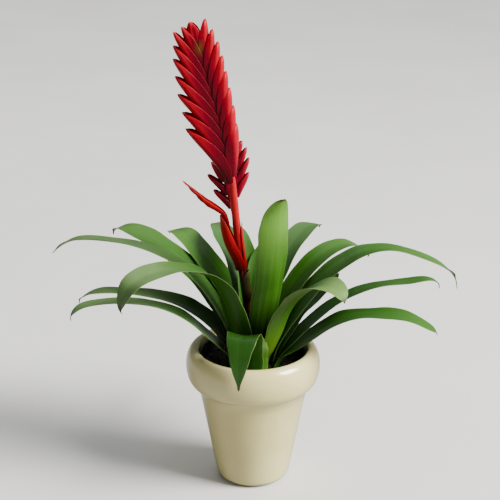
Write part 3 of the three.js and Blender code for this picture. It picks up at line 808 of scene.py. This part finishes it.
class StemAxis:
    """The middle line of a stem, with the directions that its bracts spread in.

    Args:
        points: [across, height above the rim] in millimetres.
        depths: how far behind the middle plane each point lies.
    """

    def __init__(self, points: list[Row], depths: list[float] | None = None) -> None:
        behind = depths or [0.0] * len(points)
        self.path = SmoothPath([(x, y, RIM_TOP + h) for (x, h), y in zip(points, behind)])
        self.length = self.path.length

    def place(self, sideways: np.ndarray, distance: np.ndarray, forwards: np.ndarray) -> np.ndarray:
        """Points at distances along the axis, moved sideways and forwards from it."""
        inside = np.clip(distance, 0.0, self.length)
        tangent = self.path.tangent(inside)
        point = self.path.at(inside) + tangent * (distance - inside)[..., None]
        across = np.stack([tangent[..., 2], np.zeros_like(inside), -tangent[..., 0]], axis=-1)
        across /= np.linalg.norm(across, axis=-1, keepdims=True)
        point = point + across * np.asarray(sideways)[..., None]
        point[..., 1] -= forwards
        return point


STEM_POINTS: list[Row] = [
    (0, POCKET_FLOOR - RIM_TOP), (-2, 14), (-5.8, 46), (-9.8, 76), (-13.8, 110), (-16.2, 135),
    (-20, 167), (-28, 204), (-37, 235), (-44, 262),
]
SPIKE_START = 176.0


def stem_radius(distance: np.ndarray | float) -> np.ndarray:
    """The radius of the main stem at a distance along it."""
    return np.interp(distance, [0.0, SPIKE_START, SPIKE_START + 20.0, 294.0], [4.0, 3.3, 2.2, 1.0])


def through(values: tuple[float, ...], share: float) -> float:
    """A value that runs through a few evenly spread ones as a share goes from 0 to 1."""
    return float(np.interp(share, np.linspace(0.0, 1.0, len(values)), values))


def bezier(points: list[np.ndarray], t: np.ndarray) -> np.ndarray:
    """A cubic curve from the first point to the last, drawn towards the two between them."""
    a, b, c, d = (np.asarray(p, float) for p in points)
    t = t[:, None]
    return a * (1 - t) ** 3 + 3 * b * t * (1 - t) ** 2 + 3 * c * t**2 * (1 - t) + d * t**3


@dataclass(frozen=True)
class FoldedBract(SheetSurface):
    """A boat-shaped bract folded along its keel, whose two halves close over the stem."""

    name: str
    axis: StemAxis
    side: int
    foot: float
    pitch: float
    spread: float
    rise: float
    belly: float
    curl: float
    least_swing: float
    breadth: float
    lap: float
    bluntness: float
    nearest: float

    THICKNESS = 0.62
    NEST_STEP = 0.8
    OVERLAP_HEIGHT = 24.0
    UPPER_SHARE = 0.46
    FOLD_RADIUS = 4.0
    COLUMNS = 22
    ROWS = 28

    def _opening(self, height: np.ndarray) -> np.ndarray:
        """How far it has opened at a height above its foot."""
        lower = np.clip(height, 0.0, self.OVERLAP_HEIGHT)
        upper = np.maximum(height - self.OVERLAP_HEIGHT, 0.0)
        return self.NEST_STEP / self.pitch * (lower + self.UPPER_SHARE * upper)

    def place(self, across: np.ndarray, along: np.ndarray) -> tuple[np.ndarray, np.ndarray, np.ndarray]:
        """Puts grid points on the bract. See SheetSurface."""
        side, foot, rise, near = self.side, self.foot, self.rise, self.nearest
        t = along + 0.07 * np.sin(math.pi * along) * along
        tip = (side * self.spread, foot + rise)
        keel = bezier(
            [
                (side * near, foot),
                (side * (near + self.belly), foot + rise * 0.36),
                (side * max(self.spread + self.curl, self.least_swing), foot + rise * 0.85),
                tip,
            ],
            t,
        )
        inner = self.spread - self.breadth
        margin = bezier(
            [
                (-side * near * 0.25, foot + 1.0),
                (-side * self.lap, foot + rise * 0.42),
                (side * inner, foot + rise * 0.8),
                (side * (self.spread - self.bluntness), foot + rise - self.bluntness * 0.25),
            ],
            t,
        )
        folded = 1.0 - np.abs(across * 2.0 - 1.0)
        share = np.sin(folded * math.pi / 2.0)
        front = np.where(across < 0.5, 1.0, -1.0)
        point = margin + (keel - margin) * share[:, None]
        width = np.maximum(np.linalg.norm(keel - margin, axis=1), 1e-6)
        fold_radius = np.minimum(self.FOLD_RADIUS, width * 0.5)
        fold = np.clip((1.0 - share) * width / fold_radius, 0.0, 1.0)
        closing = np.sqrt(np.maximum(1.0 - t**6, 0.0))
        depth = (near + self._opening(point[:, 1] - foot)) * closing * np.sqrt(1.0 - (1.0 - fold) ** 2)
        depth *= 1.0 + 0.03 * np.sin(9.0 * t + 4.0 * share + foot)
        placed = self.axis.place(point[:, 0], point[:, 1], depth * front)
        weight = np.clip(0.35 + 0.65 * share, 0.0, 1.0) * (1.0 - 0.3 * smoothstep(t, 0.6, 1.0))
        # the tint is low against the stem, where the material paints shade, and rises towards the bract's outer
        # edge
        return placed, weight, smoothstep(np.abs(point[:, 0]), 0.0, self.spread * 0.9)


@dataclass(frozen=True)
class StemBract(SheetSurface):
    """A trough that clasps the bare stem and parts from it, ending in a tongue on its outer side."""

    name: str
    side: int
    radii: tuple[float, ...]
    half_angle: float
    path: tuple[Row, ...]
    ragged: float = 0.0

    THICKNESS = 0.6
    COLUMNS = 18
    ROWS = 34

    def place(self, across: np.ndarray, along: np.ndarray) -> tuple[np.ndarray, np.ndarray, np.ndarray]:
        """Puts grid points on the trough. See SheetSurface."""
        main = StemAxis(STEM_POINTS)
        distances = np.array([d for d, _ in self.path], float)
        leans = np.array([lean for _, lean in self.path], float) * self.side
        points = main.place(leans, distances, np.zeros(len(leans)))
        axis = StemAxis([(float(x), float(z) - RIM_TOP) for x, _, z in points])
        t = along
        radius = np.interp(t, np.linspace(0.0, 1.0, len(self.radii)), self.radii)
        around = math.radians(self.half_angle) * np.sqrt(np.maximum(1.0 - t**4, 0.0))
        turn = (across * 2.0 - 1.0) * around
        radius = radius * (1.0 + self.ragged * np.sin(40.0 * t + 3.0 * turn) * smoothstep(t, 0.35, 0.9))
        place = axis.place(self.side * radius * np.cos(turn), t * axis.length, radius * np.sin(turn))
        weight = 0.4 + 0.6 * (1.0 - np.abs(across * 2.0 - 1.0) ** 2)
        return place, weight, smoothstep(t, 0.0, 0.6)


@dataclass(frozen=True)
class BractFinish:
    """The waxy red of a bract: darker where its tint is low, which is painted shade near the stem on a folded
    bract, with a painted glow at its edges and tip.
    """

    name: str
    # deep: the dark red where the tint is low; on a folded bract it is painted shade near the stem, on a trough
    # its lower end
    deep: Colour
    red: Colour
    # glow: the colour of the painted glow at the tip and margins, also used for the lighter broad streaks
    glow: Colour
    foot: Colour
    foot_share: float = 0.0
    olive_height: tuple[float, float] | None = None

    def build(self, effects: Effects) -> bpy.types.Material:
        """Makes the material."""
        material, shade, surface = new_material("bract_" + self.name)
        uv = shade.add("ShaderNodeUVMap", uv_map="UVMap").outputs[0]
        place = shade.place()
        parts = shade.split(uv)
        along = parts[1]
        margin = shade.off_middle(parts[0])
        streaks = shade.group(effects.streaks, Surface=uv, Fine_count=60.0, Broad_count=16.0)
        fine, broad = streaks.outputs["Fine"], streaks.outputs["Broad"]
        mottle = shade.group(effects.mottle, Place=place, Patches=60.0).outputs[0]
        tint = shade.tint()
        # darker where the tint is low: painted shade near the stem on a folded bract, the lower end of a trough
        base = shade.mix(shade.ramp(tint, 0.1, 0.95), self.deep, self.red)
        # painted glow: the tip lightens as if light shone through it
        base = shade.over(base, self.glow, along, 0.72, 1.0, 0.0, 0.8)
        # painted highlight along the margins, strongest towards the tip
        rim = shade.maths("MULTIPLY", shade.ramp(margin, 0.45, 0.5), shade.ramp(along, 0.45, 0.9, 0.05, 0.6))
        base = shade.mix(rim, base, self.glow)
        base = shade.over(base, self.deep, fine, 0.5, 0.8, 0.0, 0.3)
        base = shade.over(base, self.glow, broad, 0.5, 0.8, 0.0, 0.22)
        base = shade.over(base, self.deep, mottle, 0.5, 0.8, 0.0, 0.25)
        if self.foot_share > 0.0:
            base = shade.over(base, self.foot, along, 0.0, self.foot_share, 1.0, 0.0)
        if self.olive_height:
            base = self._olive(shade, place, base)
        shade.feed(surface, "Base Color", base)
        shade.feed(surface, "Roughness", shade.ramp(fine, 0.3, 0.7, 0.3, 0.42))
        settle(surface, Specular_IOR_Level=0.12, Coat_Weight=0.02, Coat_Roughness=0.25,
               Subsurface_Weight=0.08, Subsurface_Radius=(1.0, 0.2, 0.1), Subsurface_Scale=0.003)
        relief = shade.maths("ADD", shade.maths("MULTIPLY", fine, 0.5), broad)
        add_bump(shade, surface, relief, 0.0005, 0.5)
        return material

    def _olive(self, shade: Shade, place: object, base: object) -> bpy.types.NodeSocket:
        """A greenish patch on the front between two heights."""
        low, high = self.olive_height
        parts = shade.split(place)
        middle = (low + high) / 2.0
        half = (high - low) / 2.0
        away = shade.maths("ABSOLUTE", shade.maths("SUBTRACT", parts[2], middle * MM))
        spot = shade.ramp(away, 0.0, half * MM, 0.8, 0.0)
        wide = shade.maths("ABSOLUTE", shade.maths("ADD", parts[0], 43.0 * MM))
        spot = shade.maths("MULTIPLY", spot, shade.ramp(wide, 0.0, 5.0 * MM, 1.0, 0.0))
        return shade.mix(spot, base, (0.12, 0.06, 0.008))


@dataclass
class FlowerSpike:
    """The stem, its two side branches, the folded bracts and the bracts on the bare stem."""

    effects: Effects

    PITCH = 6.1
    COUNT = 17
    LEFT_SPREAD = (29, 27, 22.5, 16.5, 2)
    RIGHT_SPREAD = (12, 14.5, 17, 16, 9.5)
    LEFT_RISE = (54, 60, 63, 59, 39)
    RIGHT_RISE = (41, 46, 50, 49, 43)
    LEFT_CURL = (-1.2, -0.8, 0.8, 2, 2)
    RIGHT_CURL = (1.6, 1.6)
    LEFT_BELLY = (6, 5, 4, 3, 2.7)
    RIGHT_BELLY = (4.0, 4.0)
    LEFT_BREADTH = (19, 16.5, 13, 10, 10)
    RIGHT_BREADTH = (15, 12, 10, 9, 9)
    CLEAR_OF_STEM = 0.93
    BRANCH_RADII = (1.8, 0.9)
    HIDDEN_SPREAD = 4.5

    def _spike_bracts(self) -> list[FoldedBract]:
        """The bracts of the main spike, on the left and right by turns."""
        axis = StemAxis(STEM_POINTS)
        bracts = []
        for i in range(self.COUNT):
            share = i / (self.COUNT - 1)
            left = i % 2 == 0
            foot = SPIKE_START + self.PITCH * i
            bracts.append(
                FoldedBract(
                    name=f"spike_bract_{i + 1:02d}",
                    axis=axis,
                    side=-1 if left else 1,
                    foot=foot,
                    pitch=self.PITCH,
                    spread=through(self.LEFT_SPREAD if left else self.RIGHT_SPREAD, share),
                    rise=through(self.LEFT_RISE if left else self.RIGHT_RISE, share),
                    belly=through(self.LEFT_BELLY if left else self.RIGHT_BELLY, share),
                    curl=through(self.LEFT_CURL if left else self.RIGHT_CURL, share),
                    least_swing=10.0,
                    breadth=through(self.LEFT_BREADTH if left else self.RIGHT_BREADTH, share),
                    lap=4.0,
                    bluntness=1.7,
                    nearest=float(stem_radius(foot)) + self.CLEAR_OF_STEM,
                )
            )
        return bracts

    def _branches(self) -> list[tuple[str, StemAxis, list[FoldedBract]]]:
        """The two side branches behind the spike, with their small bracts."""
        given = [
            ("right_branch", 7, 1, 28.0, 5.4, (21, 22, 15), (10.5, 12, 7),
             [(-13.5, 106), (-14.5, 132), (-14, 154), (-16, 176)], [0, 11, 16, 17]),
            ("left_branch", 5, -1, 23.0, 5.8, (19, 21, 19), (11, 12.5, 7),
             [(-13, 102), (-18, 124), (-23, 142), (-27, 158)], [0, 8, 11, 12]),
        ]
        made = []
        for name, count, side, start, pitch, rises, spreads, points, depths in given:
            axis = StemAxis(points, depths)
            bracts = []
            for i in range(count):
                share = i / (count - 1)
                outer = i % 2 == 0
                bracts.append(
                    FoldedBract(
                        name=f"{name}_bract_{i + 1}",
                        axis=axis,
                        side=side if outer else -side,
                        foot=start + pitch * i,
                        pitch=pitch,
                        spread=through(spreads, share) if outer else self.HIDDEN_SPREAD,
                        rise=through(rises, share),
                        belly=3.0,
                        curl=0.8,
                        least_swing=0.0,
                        breadth=6.0,
                        lap=0.7,
                        bluntness=0.9,
                        nearest=self.BRANCH_RADII[0] + self.CLEAR_OF_STEM,
                    )
                )
            made.append((name, axis, bracts))
        return made

    def _stem_bracts(self) -> list[StemBract]:
        """The troughs on the bare stem, from the lowest up."""
        return [
            StemBract("stem_bract_base", 1, (4.9, 4.8), 125, ((70, 0), (82, 0), (92, 0.3), (98.5, 1))),
            StemBract("stem_bract_hooded", -1, (5.5, 5.8, 5.0), 132,
                      ((100, 0), (106, 0.6), (113, 2.6), (125, 6.2), (137, 8), (149.5, 8))),
            StemBract("stem_bract_long", -1, (1.8, 2.6, 3.7, 2.6, 1.5), 112,
                      ((136, 6.2), (144, 7), (150, 8.8), (156, 14.5), (163, 22.5), (172, 30.5), (184, 39.3)),
                      ragged=0.24),
            StemBract("stem_bract_right", 1, (4.3, 4.3), 50, ((101, 0), (116, 0), (132, 0), (142, 0.3))),
        ]

    def _tube(self, name: str, axis: StemAxis, radii: tuple[np.ndarray, np.ndarray]) -> bpy.types.Object:
        """A round stalk along an axis, closed to a blunt end at each end."""
        rows, sides = 60, 16
        deselect_all()
        bpy.ops.mesh.primitive_cylinder_add(vertices=sides, radius=1.0, depth=1.0, end_fill_type="TRIFAN")
        piece = bpy.context.active_object
        piece.name = name
        bpy.ops.object.mode_set(mode="EDIT")
        shape = bmesh.from_edit_mesh(piece.data)
        upright = [e for e in shape.edges if abs(e.verts[0].co.z - e.verts[1].co.z) > 0.5]
        bmesh.ops.subdivide_edges(shape, edges=upright, cuts=rows, use_grid_fill=True)
        bmesh.update_edit_mesh(piece.data)
        bpy.ops.object.mode_set(mode="OBJECT")
        mesh = piece.data
        flat = vertex_places(mesh)
        distance = (flat[:, 2] + 0.5) * axis.length
        angle = np.arctan2(flat[:, 1], flat[:, 0])
        radius = np.interp(distance, *radii)
        ridges = 1.0 + 0.03 * np.sin(5.0 * angle + distance * 0.05) + 0.03 * np.sin(distance * 0.33)
        reach = np.hypot(flat[:, 0], flat[:, 1]) * radius * ridges
        placed = axis.place(reach * np.cos(angle), distance, reach * np.sin(angle))
        move_vertices(mesh, placed)
        outward_normals(piece)
        subdivided(piece)
        shade_smooth(piece, 60.0)
        return piece

    def _stem_material(self) -> bpy.types.Material:
        """Smooth red above, with lighter lengthwise streaks that are partly its own ridges and partly painted
        pink highlight, olive and maroon towards the soil.
        """
        material, shade, surface = new_material("stem_skin")
        place = shade.place()
        height = shade.split(place)[2]
        long = shade.stretched(place, (900.0, 900.0, 60.0))
        streak = shade.noise(long, 1.0, 3.0, 0.6)
        mottle = shade.group(self.effects.mottle, Place=place, Patches=90.0).outputs[0]
        base = shade.mix(shade.ramp(height, 0.196, 0.226), (0.03, 0.003, 0.003), (0.46, 0.002, 0.008))
        # partly painted highlight: pink-red streaks along the stem's own ridges stand in for its pink highlights
        base = shade.over(base, (0.6, 0.04, 0.045), streak, 0.45, 0.75, 0.0, 0.5)
        base = shade.over(base, (0.24, 0.001, 0.004), mottle, 0.45, 0.75, 0.0, 0.35)
        olive = shade.ramp(height, 0.178, 0.2, 0.6, 0.0)
        base = shade.mix(olive, base, (0.03, 0.028, 0.006))
        shade.feed(surface, "Base Color", base)
        shade.feed(surface, "Roughness", shade.ramp(streak, 0.3, 0.7, 0.25, 0.4))
        settle(surface, Specular_IOR_Level=0.18, Coat_Weight=0.08, Coat_Roughness=0.2)
        add_bump(shade, surface, streak, 0.0004, 0.4)
        return material

    def build(self) -> None:
        """Models the stem and all its bracts."""
        reds = {
            "spike": BractFinish("spike", (0.14, 0.0, 0.009), (0.38, 0.0, 0.012), (0.6, 0.01, 0.02),
                                 (0.1, 0.0, 0.006), 0.3, olive_height=(376.0, 392.0)),
            "branch": BractFinish("branch", (0.16, 0.001, 0.012), (0.32, 0.004, 0.02), (0.5, 0.04, 0.06),
                                  (0.16, 0.001, 0.005), 0.2),
            "stem": BractFinish("stem", (0.28, 0.001, 0.004), (0.42, 0.003, 0.007), (0.4, 0.04, 0.03),
                                (0.12, 0.002, 0.003), 0.2),
            "base": BractFinish("base", (0.025, 0.012, 0.005), (0.04, 0.035, 0.008), (0.09, 0.08, 0.03),
                                (0.02, 0.003, 0.003), 0.4),
        }
        finishes = {key: finish.build(self.effects) for key, finish in reds.items()}
        skin = self._stem_material()
        main = StemAxis(STEM_POINTS)
        distances = np.linspace(0.0, main.length, 40)
        stalks = [self._tube("flower_stalk", main, (distances, stem_radius(distances)))]
        branches = self._branches()
        for name, axis, _ in branches:
            ends = (np.array([0.0, axis.length]), np.array(self.BRANCH_RADII))
            stalks.append(self._tube(name + "_stalk", axis, ends))
        for stalk in stalks:
            finished(stalk, skin, "flower_stem")
        groups = [(self._spike_bracts(), "spike"), *((bracts, "branch") for _, _, bracts in branches)]
        for bracts, key in groups:
            for bract in bracts:
                finished_sheet(bract.name + "_boat", bract, finishes[key], bract.name)
        for bract in self._stem_bracts():
            key = "base" if bract.name.endswith("base") else "stem"
            finished_sheet(bract.name + "_trough", bract, finishes[key], bract.name)


# ---------------------------------------------------------------- pot, liner and soil


@dataclass
class GlazedPot:
    """The glazed pot, turned in one piece, with a thick rolled rim."""

    effects: Effects
    base_radius: float = 33.0
    foot_round: float = 7.0
    neck_radius: float = 47.2
    neck_height: float = 84.5
    rim_radius: float = 49.7
    rim_bulge: float = 9.1
    rim_below: float = 17.2
    rim_above: float = 15.9
    rim_fullness: float = 0.81

    def _profile(self) -> list[Row]:
        """[radius, height] from the middle of the base, up the outside and down the inside."""
        points: list[Row] = [(0.0, 0.0), (12.0, 0.0), (self.base_radius - self.foot_round, 0.0)]
        centre = self.base_radius - self.foot_round
        for angle in range(-75, 0, 15):
            turn = math.radians(angle)
            across = self.foot_round * math.cos(turn)
            points.append((centre + across, self.foot_round * (1 + math.sin(turn))))
        foot = points[-1]
        for share in np.linspace(0.1, 0.94, 8):
            points.append((
                foot[0] + (self.neck_radius - foot[0]) * share,
                foot[1] + (self.neck_height - foot[1]) * share,
            ))
        points.append((self.neck_radius + 0.15, self.neck_height - 1.2))
        widest = RIM_TOP - self.rim_above
        for angle in (-84, -74, -62, -48, -34, -18, 0, 16, 32, 48, 62, 74, 84, 90):
            turn = math.radians(angle)
            out = max(math.cos(turn), 0.0) ** self.rim_fullness
            reach = self.rim_below if angle < 0 else self.rim_above
            points.append((self.rim_radius + self.rim_bulge * out, widest + reach * math.sin(turn)))
        lip = RIM_TOP - LIP_DROP
        run = self.rim_radius - MOUTH_RADIUS
        for angle in (30, 60):
            turn = math.radians(angle)
            points.append((self.rim_radius - run * math.sin(turn), lip + LIP_DROP * math.cos(turn)))
        points.append((MOUTH_RADIUS, lip))
        for share in np.linspace(0.12, 0.97, 7):
            height = lip + (FLOOR_THICKNESS - lip) * share
            points.append((hollow_radius(height), height))
        points += [(radius, FLOOR_THICKNESS) for radius in (HOLLOW_FOOT_RADIUS - 1.5, 12.0, 0.0)]
        return points

    def _glaze(self) -> bpy.types.Material:
        """A thick cream glaze with faint turning rings, pinholes and a slightly uneven colour."""
        material, shade, surface = new_material("cream_glaze")
        place = shade.place()
        mottle = shade.group(self.effects.mottle, Place=place, Patches=18.0).outputs[0]
        fine = shade.group(self.effects.mottle, Place=place, Patches=160.0).outputs[0]
        rings = shade.noise(shade.stretched(place, (6.0, 6.0, 190.0)), 1.0, 2.0, 0.5)
        base = shade.mix(shade.ramp(mottle, 0.35, 0.7), (0.8, 0.7, 0.29), (0.87, 0.78, 0.36))
        base = shade.over(base, (0.72, 0.6, 0.23), fine, 0.55, 0.8, 0.0, 0.25)
        pinholes = shade.group(self.effects.flecks, Place=place, Spacing=170.0, Size=0.09, Rarity=0.9)
        base = shade.mix(shade.maths("MULTIPLY", pinholes.outputs[0], 0.5), base, (0.45, 0.36, 0.2))
        shade.feed(surface, "Base Color", base)
        shade.feed(surface, "Roughness", shade.ramp(fine, 0.3, 0.7, 0.16, 0.26))
        settle(surface, Specular_IOR_Level=0.55, Coat_Weight=0.6, Coat_Roughness=0.06,
               Subsurface_Weight=0.08, Subsurface_Radius=(1.0, 0.8, 0.5), Subsurface_Scale=0.002)
        turning = shade.maths("MULTIPLY", rings, 0.8)
        relief = shade.maths("ADD", turning, shade.maths("MULTIPLY", mottle, 0.6))
        relief = shade.maths("SUBTRACT", relief, shade.maths("MULTIPLY", pinholes.outputs[0], 0.6))
        add_bump(shade, surface, relief, 0.0009, 0.35)
        return material

    def build(self) -> None:
        """Turns the pot and glazes it."""
        piece = turned_piece("glazed_pot", self._profile(), 96)
        subdivided(piece)
        shade_smooth(piece, 50.0)
        finished(piece, self._glaze(), "pot")


@dataclass
class NurseryPot:
    """The grower's thin black pot inside the glazed one, with a small rolled edge."""

    effects: Effects
    wall: float = 1.2
    looseness: float = 0.6
    below_rim: float = 5.0

    def build(self) -> None:
        """Turns the liner."""
        top = RIM_TOP - self.below_rim
        floor = FLOOR_THICKNESS + 0.3

        def outside(height: float) -> float:
            return hollow_radius(height) - self.looseness

        profile: list[Row] = [(0.0, floor), (outside(floor), floor)]
        profile += [(outside(h), h) for h in np.linspace(floor + 8.0, top - 1.4, 8)]
        middle = outside(top) - self.wall / 2.0
        profile += [
            (outside(top - 0.6), top - 0.6), (middle + 0.35, top - 0.1), (middle - 0.35, top - 0.1),
            (outside(top - 0.6) - self.wall, top - 0.6),
        ]
        inner_floor = floor + self.wall
        profile += [(outside(h) - self.wall, h) for h in np.linspace(top - 1.6, inner_floor + 0.4, 8)]
        profile += [(outside(inner_floor) - self.wall - 0.4, inner_floor), (0.0, inner_floor)]
        piece = turned_piece("liner_pot", profile, 72)
        subdivided(piece)
        shade_smooth(piece, 50.0)
        material, shade, surface = new_material("black_plastic")
        place = shade.place()
        grain = shade.noise(place, 900.0, 3.0, 0.6)
        dust = shade.group(self.effects.mottle, Place=place, Patches=70.0).outputs[0]
        base = shade.mix(shade.ramp(dust, 0.5, 0.8, 0.0, 0.6), (0.008, 0.008, 0.008), (0.035, 0.03, 0.024))
        shade.feed(surface, "Base Color", base)
        shade.feed(surface, "Roughness", shade.ramp(dust, 0.3, 0.7, 0.42, 0.62))
        add_bump(shade, surface, grain, 0.0003, 0.4)
        finished(piece, material, "nursery_pot")


@dataclass
class Soil:
    """The damp soil, crumbly on top, around the sheaths."""

    effects: Effects
    crumbs: int = 260
    seed: int = 7

    def _bed(self) -> bpy.types.Object:
        """The body of the soil with an uneven top."""
        bottom = FLOOR_THICKNESS + 1.8
        edge_low = hollow_radius(bottom) - 2.1
        edge_top = hollow_radius(SOIL_TOP) - 2.1
        profile: list[Row] = [(0.0, bottom), (edge_low, bottom)]
        profile += [
            (edge_low + (edge_top - edge_low) * s, bottom + (SOIL_TOP - 2.0 - bottom) * s)
            for s in np.linspace(0.2, 1.0, 5)
        ]
        profile += [(r, SOIL_TOP - 1.0) for r in np.linspace(edge_top - 1.2, 1.5, 26)]
        profile.append((0.0, SOIL_TOP - 1.0))
        piece = turned_piece("soil_bed", profile, 110)
        for vertex in piece.data.vertices:
            if vertex.co.z < (SOIL_TOP - 2.5) * MM:
                continue
            radius = math.hypot(vertex.co.x, vertex.co.y) / MM
            rough = noise.fractal(vertex.co * 260.0, 0.6, 2.0, 4)
            room = float(smoothstep(edge_top - radius, 0.0, 3.0))
            vertex.co.z += (rough * 1.1 * room + 0.4 * room) * MM
        shade_smooth(piece, 70.0)
        return piece

    def _crumb_heap(self) -> bpy.types.Object:
        """Loose crumbs and bits of bark on the top, as one piece."""
        random = np.random.default_rng(self.seed)
        made = []
        for index in range(self.crumbs):
            turn = random.uniform(0.0, 2.0 * math.pi)
            reach = random.uniform(27.0, 43.0)
            size = random.uniform(0.5, 1.5) * (1.6 if index % 9 == 0 else 1.0)
            deselect_all()
            bpy.ops.mesh.primitive_ico_sphere_add(subdivisions=2, radius=size * MM)
            crumb = bpy.context.active_object
            stretch = Vector((random.uniform(0.7, 1.4), random.uniform(0.6, 1.0), random.uniform(0.5, 0.9)))
            shift = Vector(random.uniform(-50.0, 50.0, 3))
            height = SOIL_TOP - 0.6 + size * 0.35
            centre = Vector((reach * math.cos(turn), reach * math.sin(turn), height)) * MM
            spin = Matrix.Rotation(random.uniform(0.0, 6.28), 3, "Z")
            for vertex in crumb.data.vertices:
                lump = 1.0 + 0.35 * noise.noise(vertex.co / (size * MM) * 1.3 + shift)
                scaled = Vector((vertex.co.x * stretch.x, vertex.co.y * stretch.y, vertex.co.z * stretch.z))
                vertex.co = spin @ (scaled * lump) + centre
            made.append(crumb)
        deselect_all()
        for crumb in made:
            crumb.select_set(True)
        bpy.context.view_layer.objects.active = made[0]
        bpy.ops.object.join()
        heap = bpy.context.active_object
        heap.name = "soil_crumbs"
        shade_smooth(heap, 40.0)
        return heap

    def build(self) -> None:
        """Models the soil and its crumbs."""
        material, shade, surface = new_material("damp_soil")
        place = shade.place()
        coarse = shade.group(self.effects.mottle, Place=place, Patches=220.0).outputs[0]
        fine = shade.noise(place, 1400.0, 4.0, 0.7)
        base = shade.mix(shade.ramp(coarse, 0.35, 0.7), (0.008, 0.005, 0.003), (0.035, 0.02, 0.011))
        base = shade.over(base, (0.09, 0.06, 0.035), fine, 0.6, 0.75, 0.0, 0.6)
        shade.feed(surface, "Base Color", base)
        shade.feed(surface, "Roughness", shade.ramp(coarse, 0.3, 0.7, 0.7, 0.95))
        add_bump(shade, surface, shade.maths("ADD", coarse, fine), 0.0012, 0.8)
        finished(self._bed(), material, "potting_soil")
        finished(self._crumb_heap(), material, "potting_soil")


# ---------------------------------------------------------------- studio


@dataclass
class Studio:
    """The camera, the pale floor and the soft lights."""

    camera_place: Vector = Vector((-0.0026, -0.900, 0.533))
    camera_pitch: float = 19.61
    focal_length: float = 81.2

    FLOOR_BOUNCE = (0.36, 0.35, 0.33)
    FLOOR_RADIUS = 6.0
    FLOOR_GAP = 0.0005
    SENSOR_WIDTH = 36.0
    AIM_HEIGHT = 0.2
    WORLD_COLOUR = (0.93, 0.95, 1.0, 1.0)
    WORLD_STRENGTH = 0.22

    def _camera(self) -> None:
        """The camera, level across and looking down a little."""
        data = bpy.data.cameras.new("view")
        data.lens = self.focal_length
        data.sensor_width = self.SENSOR_WIDTH
        camera = bpy.data.objects.new("view", data)
        camera.location = self.camera_place
        camera.rotation_euler = (math.radians(90.0 - self.camera_pitch), 0.0, 0.0)
        bpy.context.scene.collection.objects.link(camera)
        bpy.context.scene.camera = camera

    def _floor(self) -> None:
        """A wide pale floor that fills the view."""
        deselect_all()
        below = (0.0, 0.0, -self.FLOOR_GAP)
        bpy.ops.mesh.primitive_circle_add(
            vertices=96, radius=self.FLOOR_RADIUS, fill_type="NGON", location=below
        )
        floor = bpy.context.active_object
        floor.name = "floor"
        material, shade, surface = new_material("pale_plaster")
        place = shade.place()
        cloud = shade.noise(place, 2.2, 4.0, 0.55)
        base = shade.mix(shade.ramp(cloud, 0.3, 0.7), (0.77, 0.755, 0.73), (0.82, 0.805, 0.78))
        seen = shade.add("ShaderNodeLightPath").outputs["Is Camera Ray"]
        shade.feed(surface, "Base Color", shade.mix(seen, self.FLOOR_BOUNCE, base))
        settle(surface, Roughness=0.9, Specular_IOR_Level=0.1)
        floor.data.materials.append(material)

    def _hang(self, data: bpy.types.Light, place: Vector, aim: Vector) -> None:
        """Puts a light at a place, turned to a point."""
        light = bpy.data.objects.new(data.name, data)
        light.location = place
        light.rotation_euler = (aim - place).to_track_quat("-Z", "Y").to_euler()
        bpy.context.scene.collection.objects.link(light)

    def _area_light(
        self, name: str, place: Vector, aim: Vector, size: float, power: float, tint: Colour
    ) -> None:
        """A soft square light at a place, turned to a point."""
        data = bpy.data.lights.new(name, "AREA")
        data.shape = "SQUARE"
        data.size = size
        data.energy = power
        data.color = tint
        self._hang(data, place, aim)

    def _sun(self, place: Vector, strength: float, spread: float) -> None:
        """Broad daylight from one side, that falls off nowhere."""
        data = bpy.data.lights.new("daylight", "SUN")
        data.energy = strength
        data.angle = math.radians(spread)
        self._hang(data, place, Vector())

    def build(self) -> None:
        """Sets up the view, the floor and the lights."""
        self._camera()
        self._floor()
        aim = Vector((0.0, 0.0, self.AIM_HEIGHT))
        self._area_light("window", Vector((1.45, -0.45, 1.2)), aim, 1.0, 48.0, (1.0, 0.985, 0.95))
        self._area_light("sky", Vector((0.0, 0.9, 2.2)), aim, 2.4, 22.0, (0.96, 0.985, 1.0))
        self._sun(Vector((1.45, -0.5, 1.15)), 5.4, 28.0)
        world = bpy.data.worlds.new("room")
        world.use_nodes = True
        background = world.node_tree.nodes["Background"]
        background.inputs["Color"].default_value = self.WORLD_COLOUR
        background.inputs["Strength"].default_value = self.WORLD_STRENGTH
        bpy.context.scene.world = world


def plain(corners: tuple[Vector, Vector]) -> list[list[float]]:
    """Two corners as plain lists of numbers."""
    return [[float(value) for value in corner] for corner in corners]


def main() -> None:
    """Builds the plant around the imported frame."""
    logging.basicConfig(level=logging.INFO, format="%(message)s")
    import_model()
    Studio().build()
    effects = Effects()
    for kind in (GlazedPot, NurseryPot, Soil, FlowerSpike, Rosette):
        kind(effects).build()
        log.info("%s is in place", kind.__name__)
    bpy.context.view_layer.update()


if __name__ == "__main__":
    main()
